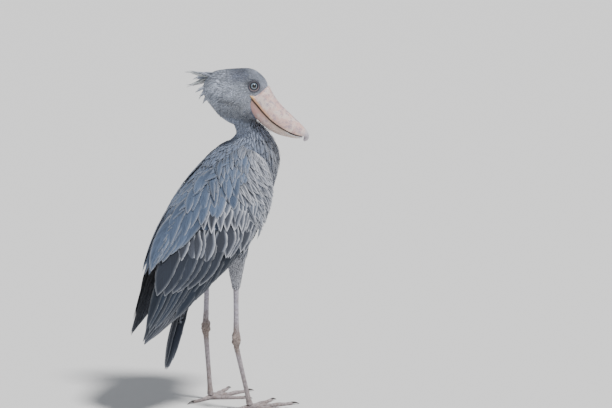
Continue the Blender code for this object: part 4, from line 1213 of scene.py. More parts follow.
def make_body_coat(skin, tree, material):
    """Feathers of the neck, breast, belly, back and thighs."""
    rng = np.random.default_rng(31)
    points, normals = surface_samples(skin, BODY_SAMPLES, rng)
    keep = (head_share(points) <= 0.5) & ~under_wing_quick(points)
    points, normals = points[keep], normals[keep]
    high, leg = points[:, 2] > NECK_START, is_thigh(points)
    chosen = []
    for part, spacing in ((high, NECK_SPACING), (leg, THIGH_SPACING), (~high & ~leg, BODY_SPACING)):
        index = np.nonzero(part)[0]
        chosen.append(index[thinned(points[index], spacing)])
    index = np.concatenate(chosen)
    points, normals = points[index], normals[index]
    hidden = under_wing(points, wing_trees(), HIDDEN_REACH)
    points, normals = points[~hidden], normals[~hidden]
    z = points[:, 2]
    count = len(points)
    front = smooth_step(-0.02, 0.06, points[:, 0] - middle_line(z))
    on_neck = smooth_step(0.88, 0.95, z)
    collar = front * bump_at(z - 0.868, 0.040)
    throat = front * bump_at(z - 0.940, 0.030)
    thigh = is_thigh(points)
    neck_length = NECK_LENGTH + THROAT_LONGER * throat
    length = mix_numbers(BODY_LENGTH + BREAST_LONGER * front, neck_length, on_neck)
    length = np.where(thigh, THIGH_LENGTH, length) * rng.uniform(0.75, 1.25, count)
    half = mix_numbers(BODY_HALF - BREAST_NARROWER * front, NECK_HALF, on_neck)
    half = np.where(thigh, THIGH_HALF, half)
    rise = mix_numbers(BODY_RISE, NECK_RISE, on_neck) + COLLAR_RISE * collar * rng.uniform(0, 1, count)
    rise = rise + THROAT_RISE * throat * rng.uniform(0.4, 1, count)
    rise = np.where(thigh, THIGH_RISE, rise) * rng.uniform(0.7, 1.3, count)
    loose = rng.normal(0, 1, points.shape) * (0.10 + 0.14 * collar)[:, None]
    direction = unit(lie(points, normals) + loose)
    lines = comb(tree, points, direction, length, BODY_STATIONS, -BODY_SUNK, rise)
    varied = 1 + rng.uniform(-0.15, 0.12, count) * np.where(thigh, 0.2, 1.0)
    tone = body_tone(points) * varied[:, None]
    dark = collar * (rng.uniform(0, 1, count) < 0.40)
    tone = tone * (1 - 0.60 * dark)[:, None]
    marks = facing_marks(count, 1.0, 1.0, rng)
    marks[:, 0] *= np.where(thigh, 0.15, mix_numbers(0.38 + 0.25 * front, 0.15, on_neck))
    marks[:, 1] *= np.where(thigh, 0.05, mix_numbers(0.12 + 0.40 * front, 0.08, on_neck))
    half = half * rng.uniform(0.8, 1.2, count)
    feathers = (*lines, half, tone, marks, body_unwrap(points))
    lower = (z < BELLY_COAT_TOP) & ~thigh
    body_shape = ("tuft", BODY_STATIONS, outline_oval, 0.14, 32)
    thigh_shape = ("tuft", BODY_STATIONS, outline_oval, 0.10, 32, THIGH_ROOT_SHADE)
    parts = (
        ("coat_neck", z > NECK_COAT_LOW, body_shape),
        ("coat_breast", (z <= NECK_COAT_LOW) & ~lower & ~thigh, body_shape),
        ("coat_belly", lower, body_shape),
        ("coat_thighs", thigh, thigh_shape),
    )
    return [
        plumage_piece(name, shape, [values[part] for values in feathers], material, ragged=0.07)
        for name, part, shape in parts
    ]


def mix_numbers(a, b, amount):
    return a * (1 - amount) + b * amount


def is_thigh(points):
    """Whether places are on a thigh."""
    x, y, z = points[:, 0], np.abs(points[:, 1]), points[:, 2]
    return (np.abs(y - THIGH_OUT) < THIGH_REACH) & (z < THIGH_TOP) & (x > THIGH_REAR)


def under_wing_quick(points):
    """Whether places are on the wing's own flesh, behind the core's end."""
    return (points[:, 2] < 0.47) & (points[:, 0] < -0.14)


# Wings and tail

# name, feathers, half width, sunk at the root, rise at the tip, lean, roots, tips, tone, edge, streak
WING_TIERS = (
    ("primary", 14, 0.0140, -0.0060, -0.0035, 9,
     ((0.69, 0.16), (0.70, 0.40), (0.70, 0.66)),
     ((0.865, 0.04), (0.93, 0.04), (0.985, 0.14), (0.995, 0.60)), "primary", 0.30, 0.1),
    ("secondary", 13, 0.0180, -0.0040, 0.0012, 6,
     ((0.38, 0.26), (0.49, 0.30), (0.60, 0.38)),
     ((0.56, 0.03), (0.70, 0.03), (0.84, 0.06)), "secondary", 0.22, 0.1),
    ("long", 9, 0.0170, -0.0050, -0.0002, 7,
     ((0.52, 0.40), (0.58, 0.60), (0.62, 0.80)),
     ((0.80, 0.12), (0.90, 0.26), (0.95, 0.46), (0.96, 0.74)), "secondary", 0.28, 0.1),
    ("inner", 6, 0.0300, -0.0040, 0.0030, 6,
     ((0.46, 0.50), (0.52, 0.66), (0.60, 0.82)),
     ((0.700, 0.22), (0.78, 0.39), (0.82, 0.54), (0.85, 0.76)), "inner", 0.50, 0.35),
    ("greater", 12, 0.0220, -0.0030, 0.0046, 6,
     ((0.29, 0.30), (0.36, 0.36), (0.43, 0.52), (0.52, 0.70), (0.55, 0.82)),
     ((0.435, 0.09), (0.515, 0.09), (0.57, 0.27), (0.655, 0.45), (0.680, 0.66)), "covert", 1.0, 0.80),
    ("median", 12, 0.0185, -0.0030, 0.0052, 7,
     ((0.27, 0.26), (0.28, 0.46), (0.31, 0.62), (0.39, 0.82)),
     ((0.405, 0.07), (0.400, 0.28), (0.45, 0.42), (0.52, 0.68)), "covert", 1.0, 0.80),
    ("marginal", 12, 0.0150, -0.0030, 0.0056, 7,
     ((0.21, 0.24), (0.22, 0.46), (0.26, 0.62), (0.33, 0.80)),
     ((0.340, 0.06), (0.330, 0.28), (0.38, 0.44), (0.45, 0.66)), "lesser", 1.0, 0.60),
    ("tertial", 6, 0.0250, -0.0035, 0.0062, 6,
     ((0.40, 0.76), (0.43, 0.86), (0.45, 0.95)),
     ((0.655, 0.78), (0.72, 0.87), (0.77, 0.95), (0.79, 0.99)), "scapular", 0.50, 0.25),
    ("rear", 7, 0.0215, -0.0030, 0.0066, 6,
     ((0.20, 0.78), (0.28, 0.84), (0.34, 0.92), (0.40, 0.98)),
     ((0.36, 0.58), (0.45, 0.67), (0.54, 0.77), (0.63, 0.88)), "scapular", 0.45, 0.15),
    ("scapular", 9, 0.0190, -0.0030, 0.0074, 6,
     ((0.05, 0.82), (0.12, 0.87), (0.19, 0.93), (0.27, 0.97), (0.33, 0.99)),
     ((0.200, 0.60), (0.28, 0.62), (0.35, 0.70), (0.43, 0.80), (0.52, 0.92)), "scapular", 0.45, 0.15),
    ("shoulder", 9, 0.0165, -0.0030, 0.0080, 6,
     ((0.00, 0.88), (0.07, 0.93), (0.13, 0.97), (0.20, 1.00), (0.27, 1.02)),
     ((0.125, 0.68), (0.19, 0.72), (0.26, 0.80), (0.34, 0.89), (0.42, 0.97)), "scapular", 0.40, 0.12),
)
WING_GROUPS = {
    "flight": ("primary", "secondary", "long", "inner"),
    "coverts": ("greater", "median", "marginal"),
    "scapulars": ("tertial", "rear", "scapular", "shoulder"),
}


def wing_lines(roots, tips, sunk, rise, stations, bow=0.02):
    """Lines over the right wing's sheet from roots to tips, both given along and across it."""
    t = eased(stations)
    place = roots[:, None, :] + (tips - roots)[:, None, :] * t[None, :, None]
    share, chord = place[..., 0], place[..., 1] + bow * np.sin(np.pi * t)[None, :]
    normals = wing_normal(share, chord)
    sunk, rise = (np.broadcast_to(np.asarray(v, float), (len(roots),))[:, None] for v in (sunk, rise))
    height = sunk + (rise - sunk) * t[None, :] ** WING_LIE_POWER
    return wing_sheet(share, chord) + normals * height[..., None], normals


def mirrored(vectors, side):
    return vectors if side == "right" else vectors * np.array((1, -1, 1))


def atlas(count):
    """Places and sizes of islands in a square grid."""
    columns = math.ceil(math.sqrt(count * 2.5))
    rows = math.ceil(count / columns)
    k = np.arange(count)
    spots = np.stack([(k % columns + 0.5) / columns, (k // columns + 0.5) / rows], -1)
    return spots, (0.86 / columns, 0.90 / rows)


def make_wing_tiers(side, group, material, seed):
    """One group of a wing's large feathers."""
    rng = np.random.default_rng(seed)
    tiers = [tier for tier in WING_TIERS if tier[0] in WING_GROUPS[group]]
    spots, patch = atlas(sum(tier[1] for tier in tiers))
    flight = group == "flight"
    outline = {"flight": outline_long, "coverts": outline_oval, "scapulars": outline_blunt}[group]
    vanes = Vanes("large", LARGE_STATIONS, outline, camber=0.12, seed=seed + 1)
    loose = 0.010 if flight else 0.024
    first = 0
    for _, count, half, sunk, rise, lean, roots, tips, tone, edge, streak in tiers:
        shift = rng.uniform(-0.3, 0.3, count) * (0.2 if flight else 0.8) / count
        share = np.clip(np.linspace(0, 1, count) + shift, 0, 1)
        root, tip = along(roots, share), along(tips, share)
        tip = root + (tip - root) * rng.uniform(1 - 3 * loose, 1 + 3 * loose, (count, 1))
        tip = tip + rng.normal(0, loose, (count, 2)) * np.array((0.4, 1.0))
        tip[:, 0] = np.minimum(tip[:, 0], 1.0)
        heights = rise + rng.uniform(-0.0008, 0.0008, count)
        lines, normals = wing_lines(root, tip, sunk, heights, LARGE_STATIONS, bow=rng.uniform(0.0, 0.04))
        tilt = np.radians(lean * rng.uniform(0.8, 1.3, count)) * (-1 if side == "right" else 1)
        colour = COLOUR[tone] * rng.uniform(0.76, 1.20, (count, 1))
        vanes.add(
            mirrored(lines, side), mirrored(normals, side), half * rng.uniform(0.88, 1.12, count), colour,
            facing_marks(count, edge, streak, rng), spots[first:first + count], patch, tilt, 0.030,
        )
        first += count
    made = vanes.build(f"wing_{group}_{side}", material)
    return made


def make_lesser_coverts(side, material, seed):
    """Small loose feathers over the front of the wing, and over the roots of the shoulder's large ones."""
    rng = np.random.default_rng(seed)
    corner = np.array((-0.02, 0.02))
    picks = corner + rng.uniform(0, 1, (LESSER_SAMPLES, 2)) * np.array((0.36, 1.02))
    upper = picks[:, 1] > 0.80
    keep = np.where(upper, picks[:, 0] < 0.24, picks[:, 0] < 0.30 - 0.10 * np.abs(picks[:, 1] - 0.4))
    picks = picks[keep]
    measured = picks * np.array((0.62, 0.20))
    roots = picks[thinned(np.column_stack([measured, 0 * measured[:, :1]]), LESSER_SPACING)]
    roots[:, 0] = np.maximum(roots[:, 0], 0.0)
    share, chord = roots[:, 0], roots[:, 1]
    count = len(roots)
    blue = smooth_step(0.74, 0.84, chord)
    size = rng.uniform(0.80, 1.3, count) * (1.0 + 1.2 * share)
    step = mix(np.array((0.050, -0.260)), np.array((0.085, -0.130)), blue)
    edge_flow = 1 - smooth_step(0.0, 0.35, chord)
    step = step + edge_flow[:, None] * np.array((0.030, 0.170))
    tips = roots + step * size[:, None] + rng.normal(0, 1, (count, 2)) * np.array((0.012, 0.020))
    tips[:, 1] = np.maximum(tips[:, 1], -0.02)
    rise = 0.0045 + 0.0035 * blue + rng.uniform(-0.0015, 0.0035, count) * (1 - 0.7 * edge_flow)
    lines, normals = wing_lines(roots, tips, -0.0030, rise, LESSER_STATIONS)
    half = (0.0078 + 0.010 * share + 0.0014 * blue) * rng.uniform(0.75, 1.25, count)
    light = (1 - smooth_step(0.02, 0.26, share)) * (1 - blue)
    colour = mix(mix(COLOUR["lesser"], COLOUR["pale"], light), COLOUR["scapular"], blue)
    colour = mix(colour, COLOUR["edge"], 0.5 * (1 - smooth_step(0.0, 0.05, share)) * (1 - 0.6 * blue))
    colour = colour * rng.uniform(0.62, 1.12, (count, 1))
    marks = facing_marks(count, 1.0, 1.0, rng)
    marks[:, 0] *= 0.85 - 0.45 * blue
    marks[:, 1] *= 0.90 - 0.70 * blue
    spots = 0.03 + 0.94 * np.clip(roots * np.array((2.6, 0.95)), 0, 1)
    feathers = (mirrored(lines, side), mirrored(normals, side), half, colour, marks, spots)
    shape = ("small", LESSER_STATIONS, outline_oval, 0.14, seed + 1)
    return plumage_piece("wing_lesser_" + side, shape, feathers, material, LESSER_PATCH, 0.05)


def bridge_sheet(share, across):
    """Places over the back between the wings' upper edges, across from -1 on the right to 1 on the left."""
    place = wing_sheet(share, BRIDGE_CHORD + 0 * share)
    place[..., 1] = -across * place[..., 1]
    place[..., 2] += BRIDGE_ARCH * (1 - across**2)
    return place


def make_mantle(material):
    """Rows of feathers that close the back between the wings."""
    rng = np.random.default_rng(47)
    roots = []
    for row, share in enumerate(np.arange(-0.02, 0.70, MANTLE_STEP)):
        width = 2 * np.abs(wing_sheet(np.array(max(share, 0.0)), np.array(BRIDGE_CHORD))[1])
        count = max(2, round(width / MANTLE_SPACING)) + row % 2
        for across in np.linspace(-1.0, 1.0, count):
            roots.append((max(share + rng.uniform(-0.010, 0.010), 0.0), across + rng.uniform(-0.10, 0.10)))
    roots = np.array(roots)
    count = len(roots)
    t = eased(MANTLE_STATIONS)
    length = (0.105 + 0.05 * roots[:, 0]) * rng.uniform(0.85, 1.15, count)
    share = roots[:, :1] + length[:, None] * t
    across = roots[:, 1:] * (1 - 0.10 * t) + rng.normal(0, 0.10, (count, 1)) * t
    step = 0.004
    ahead = bridge_sheet(share + step, across) - bridge_sheet(share, across)
    side = bridge_sheet(share, across + step) - bridge_sheet(share, across)
    normals = unit(np.cross(side, ahead))
    normals *= np.sign(normals[..., 2:])
    rise = -0.0040 + (0.0100 + rng.uniform(-0.001, 0.001, count))[:, None] * t**0.6
    lines = bridge_sheet(share, across) + normals * rise[..., None]
    blue = smooth_step(0.05, 0.35, roots[:, 0])
    tone = mix(COLOUR["mantle"], COLOUR["scapular"], blue) * rng.uniform(0.78, 1.16, (count, 1))
    half = (0.0135 + 0.006 * blue) * rng.uniform(0.88, 1.12, count)
    marks = facing_marks(count, 0.42, 0.15, rng)
    spots = np.stack([0.05 + 0.9 * roots[:, 0] / 0.72, 0.5 + 0.4 * roots[:, 1]], -1)
    feathers = (lines, normals, half, tone, marks, spots)
    shape = ("small", MANTLE_STATIONS, outline_oval, 0.12, 48)
    return plumage_piece("mantle", shape, feathers, material, LESSER_PATCH)


def make_tail(material):
    """Twelve tail feathers, the middle pair on top."""
    rng = np.random.default_rng(51)
    back = tail_back()
    spots, patch = atlas(TAIL_FEATHERS)
    vanes = Vanes("large", LARGE_STATIONS, outline_long, camber=0.08, seed=52)
    t = vanes.t
    for k in range(TAIL_FEATHERS):
        spread = k - (TAIL_FEATHERS - 1) / 2
        reach = 1.0 - 0.0050 * spread * spread + rng.uniform(-0.020, 0.008)
        lift = TAIL_STACK - 0.0011 * abs(spread) - (0.0005 if spread > 0 else 0.0)
        line = tail_line(0.06 + (reach - 0.06) * t, spread, lift)[None]
        normals = np.broadcast_to(-back if back[0] > 0 else back, line.shape)
        tilt = math.radians(9.0) * (-1 if spread > 0 else 1)
        vanes.add(
            line, normals, np.array((TAIL_FEATHER_HALF,)), COLOUR["tail"][None] * rng.uniform(0.75, 1.25),
            facing_marks(1, 0.45, 0.1, rng), spots[k:k + 1], patch, tilt, 0.030,
        )
    made = vanes.build("tail_feathers", material)
    return made


# Crest

CREST_LOCKS = (  # root forward and up, tip forward and up in the head's frame, feathers, half width
    (-0.126, 0.059, -0.213, 0.071, 9, 0.0042),
    (-0.130, 0.047, -0.210, 0.024, 9, 0.0042),
    (-0.130, 0.053, -0.188, 0.047, 7, 0.0040),
    (-0.120, 0.066, -0.176, 0.074, 6, 0.0038),
    (-0.134, 0.034, -0.180, 0.006, 9, 0.0044),
    (-0.137, 0.020, -0.168, -0.012, 8, 0.0042),
    (-0.134, 0.000, -0.156, -0.034, 8, 0.0042),
)


def make_crest(material):
    """The shaggy locks at the back of the crown."""
    rng = np.random.default_rng(61)
    starts, ends, halves = [], [], []
    for from_forward, from_up, to_forward, to_up, count, half in CREST_LOCKS:
        left = rng.uniform(-0.012, 0.012)
        for k in range(count):
            reach = 1.0 - 0.04 * k if k < 3 else rng.uniform(0.55, 0.9)
            across = left + rng.normal(0, 0.007)
            root = from_forward + rng.uniform(-0.004, 0.006)
            starts.append((root, across, from_up + rng.normal(0, 0.0035)))
            forward = from_forward + (to_forward - from_forward) * reach
            up = from_up + (to_up - from_up) * reach + rng.normal(0, 0.0022)
            ends.append((forward, across * 0.6 + left * 0.6 + rng.normal(0, 0.003), up))
            halves.append(half * rng.uniform(0.75, 1.15))
    starts, ends = np.array(starts), np.array(ends)
    count = len(starts)
    t = eased(CREST_STATIONS)
    place = starts[:, None] + (ends - starts)[:, None] * t[None, :, None]
    length = np.linalg.norm(ends - starts, axis=1)
    bow = rng.normal(0.05, 0.05, count) * length
    wave = rng.normal(0, 0.02, count) * length
    place[..., 2] += bow[:, None] * np.sin(np.pi * t) + wave[:, None] * np.sin(2 * np.pi * t)
    lines = head_point(*np.moveaxis(place, -1, 0))
    roll = rng.uniform(-0.9, 0.9, count)
    origin = head_point(np.zeros(count), np.zeros(count), np.zeros(count))
    normal = head_point(np.zeros(count), -np.cos(roll), np.sin(roll)) - origin
    normals = np.broadcast_to(unit(normal)[:, None, :], lines.shape)
    # The first 18 feathers, the upper locks, are paler: partly their own colour, partly painted light
    lit = np.where(np.arange(count) < 18, 1.4, 1.0)
    tone = np.minimum(COLOUR["head"] * (rng.uniform(0.75, 1.0, count) * lit)[:, None], 0.82)
    marks = facing_marks(count, 0.35, 0.25, rng)
    feathers = (lines, normals, np.array(halves), tone, marks, head_unwrap(lines[:, 0]))
    shape = ("small", CREST_STATIONS, outline_pointed, 0.22, 62)
    return plumage_piece("crest", shape, feathers, material, CREST_PATCH, 0.08)


# Bill


def bill_shell(forward, left, up, half, floor):
    """Points and faces of an arch that is closed by a flat floor along the mouth."""
    low_left = half[:, :1] * np.linspace(-1, 1, FLOOR_POINTS + 2)[None, 1:-1]
    inner = np.stack(np.broadcast_arrays(forward[:, :1], low_left, floor[:, :1]), -1)
    ring = np.concatenate([np.stack([forward, left, up], -1), inner], 1)
    return ring.reshape(-1, 3), ring_faces(*ring.shape[:2])


def upper_bill_shape():
    """Points and faces of the upper half."""
    share, angle = flat_grid((0, 1, 150), (0, np.pi, 72))
    forward, top, mouth, half = by_column(UPPER_BILL, share)
    c, s = np.cos(angle), np.sin(angle)
    left = half * np.sign(c) * np.abs(c) ** 0.82
    up = mouth + (top - mouth) * s**0.88
    fade = smooth_step(0.030, 0.050, forward) * (1 - smooth_step(0.205, 0.226, forward))
    groove = np.abs(left) - GROOVE_SHARE * half
    up += fade * RIDGE_HEIGHT * bump_at(left, 0.0040)
    up -= fade * GROOVE_DEPTH * bump_at(groove, 0.0020)
    slit = bump_at((forward - NOSTRIL_ALONG) / (NOSTRIL_LENGTH * 0.5), 0.85)
    up -= SLIT_DEPTH * slit * bump_at(groove, 0.0012)
    left += np.sign(c) * bump_at(s, 0.10) * fade * LIP_SWELL
    return bill_shell(forward, left, up, half, mouth + UPPER_FLOOR)


def nail_shape():
    """Points and faces of the hook."""
    rows, sides = 40, 28
    share, angle = round_grid(0, 1, rows, sides)
    forward, up, half_width, half_thickness = by_column(NAIL, share)
    run, rise = np.gradient(forward, axis=0), np.gradient(up, axis=0)
    size = np.hypot(run, rise)
    out = half_thickness * np.cos(angle)
    place = np.stack([forward - rise / size * out, half_width * np.sin(angle), up + run / size * out], -1)
    return place.reshape(-1, 3), ring_faces(rows, sides)


def lower_bill_shape():
    """Points and faces of the lower half."""
    share, angle = flat_grid((0, 1, 110), (0, np.pi, 60))
    forward, mouth, bottom, half = by_column(LOWER_BILL, share)
    mouth = mouth - MOUTH_GAP - JAW_BOW * bump_at(forward - 0.188, 0.030)
    c, s = np.cos(angle), np.sin(angle)
    left = half * np.sign(c) * np.abs(c) ** 0.75
    up = mouth + (bottom - mouth) * s**0.9
    left += np.sign(c) * bump_at(s - 0.45, 0.22) * JAW_SWELL
    return bill_shell(forward, left, up, half, mouth - LOWER_FLOOR)


def bill_piece(name, shells, material, node):
    """A bill half from shells in the bill's frame, with the measures that its material reads."""
    points, faces = join_shells(shells)
    made = mesh_piece(name, bill_point(*points.T), faces, material)
    if len(shells) > 1:
        fuse(made, BILL_VOXEL, 4)
    points, normals = mesh_points(made)
    rough = np.array([noise.noise(Vector(p * 160)) + 0.5 * noise.noise(Vector(p * 420)) for p in points])
    move_points(made, points + normals * (rough * HORN_GRAIN)[:, None])
    c, s = math.cos(BILL_DROP), math.sin(BILL_DROP)
    forward, left, up = in_head(points)
    along_bill, over = forward * c - up * s, forward * s + up * c
    mouth = np.interp(along_bill, [row[0] for row in UPPER_BILL], [row[2] for row in UPPER_BILL])
    add_vectors(made, "bill", np.stack([along_bill, left, over - mouth], -1))
    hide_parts(node)
    return made


def bill_material(name, lower):
    """Horn: pink cream, blotched and flecked with grey, tan along the mouth, grey at the hook."""
    n = Nodes(name)
    run, left, over = n.parts("bill")
    cloud = n.noise(34.0, 3.0, 0.62)
    blotch = n.noise(75.0, 3.0, 0.62)
    fleck = n.noise(210.0, 3.0, 0.7)
    fibre = n.noise(520.0, 3.0, 0.6, n.combine(n.product(run, 0.14), left, over))
    base = n.blend(n.ramp(cloud, 0.40, 0.60), BARE["cream"], BARE["pink"])
    layers = [
        (0.45, n.ramp(cloud, 0.30, 0.40, 1.0, 0.0), "lilac"),
        (0.72, n.ramp(blotch, 0.48, 0.64), "blotch"),
        (0.60, n.ramp(fleck, 0.60, 0.68), "fleck"),
        (0.30, n.ramp(fibre, 0.45, 0.75), "fibre"),
    ]
    layers += lower_layers(n, run, over, cloud) if lower else upper_layers(n, run, left, over, blotch)
    layers.insert(-1, (0.85, n.ramp(run, 0.200, 0.226), "hook"))
    for amount, mask, colour in layers:
        base = n.tint(base, amount, mask, BARE[colour])
    n.bump(n.math("ADD", n.product(fibre, 0.5), n.product(fleck, 0.5)), 0.4, 0.0006)
    n.shader.inputs["Coat Weight"].default_value = 0.10
    n.shader.inputs["Coat Roughness"].default_value = 0.38
    return n.finish(Base_Color=base, Roughness=n.ramp(fibre, 0.3, 0.8, 0.42, 0.58))


def lower_layers(n, run, over, cloud):
    """Colours of the lower half: amount, mask and colour, the mouth line last."""
    return [
        (n.ramp(run, 0.02, 0.12, 0.65, 0.0), n.ramp(cloud, 0.36, 0.56, 0.4, 1.0), "flush"),
        (0.55, n.ramp(over, -0.014, -0.004), "mouth"),
        # Painted shade: darker towards the lower bill's lower edge
        (0.65, n.ramp(over, -0.040, -0.013, 1.0, 0.0), "under"),
        (n.ramp(run, 0.07, 0.15), n.ramp(cloud, 0.30, 0.60, 0.45, 0.85), "far"),
        (0.85, n.product(n.ramp(run, 0.145, 0.175), n.ramp(over, -0.0105, -0.0070)), "lip"),
        (0.85, n.product(n.ramp(over, -0.0060, -0.0036), n.ramp(run, 0.14, 0.17, 1.0, 0.25)), "mouth line"),
    ]


def upper_layers(n, run, left, over, blotch):
    """Colours of the upper half: amount, mask and colour, the mouth line last."""
    side = n.math("ABSOLUTE", left)
    slit = n.ramp(n.math("ABSOLUTE", n.math("SUBTRACT", side, NOSTRIL_LEFT)), 0.0006, 0.0020, 1.0, 0.0)
    reach = n.math("ABSOLUTE", n.math("SUBTRACT", run, NOSTRIL_ALONG))
    slit = n.product(slit, n.ramp(reach, NOSTRIL_LENGTH * 0.42, NOSTRIL_LENGTH * 0.60, 1.0, 0.0))
    ridge = n.product(n.ramp(side, 0.002, 0.008, 1.0, 0.0), n.ramp(blotch, 0.42, 0.58))
    line = n.product(n.ramp(over, 0.0006, 0.0024, 1.0, 0.0), n.ramp(run, 0.210, 0.220, 1.0, 0.0))
    return [
        (n.ramp(run, 0.02, 0.17, 0.85, 0.25), n.ramp(over, 0.0035, 0.0120, 1.0, 0.0), "tan"),
        (n.ramp(run, 0.004, 0.020, 1.0, 0.0), n.ramp(over, 0.004, 0.016, 1.0, 0.0), "gape"),
        # Painted shade: the nostril slit darkened as if deep
        (0.85, slit, "nostril"),
        (0.50, ridge, "ridge"),
        (0.85, line, "mouth line"),
    ]


# Eyes


def spokes(level, rise, turn):
    """Directions across the eye's axis, turned from level towards rise."""
    return level * np.cos(turn)[..., None] + rise * np.sin(turn)[..., None]


def make_eye(side, material):
    """An eyeball with a raised cornea, and its distance from its own axis for the iris."""
    centre, out, level, rise = eye_frame(side)
    rows, sides = 60, 64
    tilt, turn = round_grid(0.002, np.pi - 0.002, rows, sides)
    radius = EYE_RADIUS + CORNEA_RISE * bump_at(tilt, 0.55)
    off = radius * np.sin(tilt)
    points = centre + out * (radius * np.cos(tilt))[..., None] + spokes(level, rise, turn) * off[..., None]
    made = mesh_piece("eyeball_" + side, points, ring_faces(rows, sides), material)
    add_vectors(made, "iris", np.stack([off, turn, tilt], -1))
    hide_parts("eye_" + side)
    return made


def eye_material():
    """Grey-blue iris with fine rays and a dark rim, round a black pupil."""
    n = Nodes("eye")
    off, turn, _ = n.parts("iris")
    rays = n.combine(
        n.product(n.math("COSINE", turn), 3.0), n.product(n.math("SINE", turn), 3.0), n.product(off, 60.0)
    )
    iris = n.blend(n.ramp(n.noise(4.0, 3.0, 0.6, rays), 0.35, 0.7), BARE["iris"], BARE["iris light"])
    iris = n.blend(n.ramp(off, IRIS_RADIUS * 0.88, IRIS_RADIUS * 1.0), iris, BARE["iris rim"])
    colour = n.blend(n.ramp(off, PUPIL_RADIUS * 0.93, PUPIL_RADIUS * 1.05, 1.0, 0.0), iris, BARE["pupil"])
    n.shader.inputs["Coat Weight"].default_value = 1.0
    n.shader.inputs["Coat Roughness"].default_value = 0.03
    return n.finish(Base_Color=colour, Roughness=0.25)


LID_PROFILE = (  # distance from the eye's axis, height over the ball's centre
    (0.0205, 0.0020),
    (0.0192, 0.0066),
    (0.0178, 0.0078),
    (0.0166, 0.0074),
    (0.0154, 0.0083),
    (0.0142, 0.0079),
    (0.0131, 0.0088),
    (0.0121, 0.0088),
    (0.0114, 0.0076),
    (0.0117, 0.0050),
    (0.0160, 0.0010),
)


def make_lids(side, material):
    """The folded bare skin round the eye, a little wider than it is high."""
    centre, out, level, rise = eye_frame(side)
    sides, rows = 120, 60
    turn, share = np.meshgrid(2 * np.pi * np.arange(sides) / sides, np.arange(rows) / rows, indexing="ij")
    off, height = by_column(LID_PROFILE + LID_PROFILE[:1], share)
    outer = smooth_step(0.0108, 0.0180, off)
    wrinkle = LID_WRINKLE * np.sin(26 * turn + 3 * np.sin(3 * turn)) * outer
    wide = 1 + LID_WIDER * outer * np.abs(np.cos(turn)) ** 2
    brow = BROW_SWELL * outer * bump_at(turn - np.pi * 0.5, 0.9)
    points = centre + out * (height + wrinkle + brow)[..., None]
    points = points + spokes(level, rise, turn) * (off * wide)[..., None]
    made = mesh_piece("lids_" + side, points, ring_faces(sides, rows, closed=True), material)
    add_vectors(made, "iris", np.stack([off, turn, height], -1))
    return made


def lid_material():
    """Bare skin round the eye: a dark rim, then a pinkish ring below the eye that greys outwards, with
    painted shade from the brow over its upper half.
    """
    n = Nodes("lid")
    off, turn, _ = n.parts("iris")
    grain = n.noise(700.0, 3.0, 0.6)
    colour = n.blend(n.ramp(grain, 0.35, 0.7), BARE["lid"], BARE["lid light"])
    # Painted shade: the upper half of the lids is darkened as if under the brow
    colour = n.blend(n.ramp(n.math("SINE", turn), -0.70, 0.30, 0.20, 0.90), colour, BARE["lid brow shade"])
    colour = n.blend(n.ramp(off, 0.0150, 0.0164), colour, BARE["lid outer"])
    colour = n.blend(n.ramp(off, 0.0136, 0.0147, 1.0, 0.0), colour, BARE["lid rim"])
    n.bump(grain, 0.5, 0.0004)
    return n.finish(Base_Color=colour, Roughness=0.5)


# Legs and feet


def leg_rings(side):
    """Centres, half lengths and half widths down the bare leg."""
    base = ankle_base(side)
    top = base[2] + ANKLE_HEIGHT
    drop = top - SHANK[-1][0]
    share = np.linspace(-0.06, 1, 70)
    height, half_length, half_width = by_column(SHANK, np.maximum(share, 0))
    height = height + drop * share + np.where(share < 0, -share * 0.13, 0)
    x = base[0] + (THIGH[-1][1] - ANKLE_X["right"]) * (1 - share)
    shank = np.stack([x, leg_column_y(side, height), height, half_length, half_width], -1)
    part, half_length, half_width = by_column(ANKLE_SHAPE, np.linspace(0.04, 0.96, 24))
    height = top - part * ANKLE_HEIGHT
    ankle = np.stack([base[0] + 0 * part, base[1] + 0 * part, height, half_length, half_width], -1)
    part, half_length, half_width = by_column(TARSUS_SHAPE, np.linspace(0.01, 1, 90))
    foot = foot_joint(side)
    centre = base + (foot - base) * part[:, None] + np.array((0, 0, 0.004)) * part[:, None]
    tarsus = np.concatenate([centre, half_length[:, None], half_width[:, None]], 1)
    rows = np.concatenate([shank, ankle, tarsus])
    for _ in range(3):
        rows[1:-1] = (rows[:-2] + 2 * rows[1:-1] + rows[2:]) / 4
    return rows


def foot_joint(side):
    """The place where the toes meet."""
    base, lean = ankle_base(side), TARSUS_LEAN[side]
    return np.array((base[0] + TARSUS_LENGTH * math.sin(lean), base[1], SOLE_TO_TARSUS))


def leg_shell(side):
    rows = leg_rings(side)
    turn = 2 * np.pi * np.arange(32) / 32
    ring = rows[:, None, :3] + np.stack(
        [rows[:, 3:4] * np.cos(turn), rows[:, 4:5] * np.sin(turn), np.zeros((len(rows), 32))], -1
    )
    return ring.reshape(-1, 3), ring_faces(len(rows), 32)


def toe_line(side, toe, share):
    """Middle, radius and direction of a toe at shares of its length."""
    turn, length, root_radius, tip_radius, joints = TOES[toe]
    angle = math.radians(turn) * (1 if side == "left" else -1) + FOOT_TURN[side]
    radius = root_radius + (tip_radius - root_radius) * share
    radius = radius * (1 + TOE_KNUCKLE * np.cos(2 * np.pi * joints * share))
    foot = foot_joint(side)
    rise = (1 - share) ** 3 * (SOLE_TO_TARSUS - radius) * 0.6
    x, y = foot[0] + share * length * math.cos(angle), foot[1] + share * length * math.sin(angle)
    return np.stack([x, y, radius * TOE_FLAT + rise], -1), radius, angle


def toe_shell(side, toe):
    share, turn = round_grid(0, 1, 60, 24)
    centre, radius, angle = toe_line(side, toe, share)
    across = np.array((-math.sin(angle), math.cos(angle), 0.0))
    end = np.sqrt(np.maximum(1 - np.clip((share - 0.95) / 0.06, 0, 1) ** 2, 0.05))
    ring = centre + across * (radius * end * np.sin(turn))[..., None]
    ring[..., 2] += radius * end * np.cos(turn)
    return ring.reshape(-1, 3), ring_faces(60, 24)


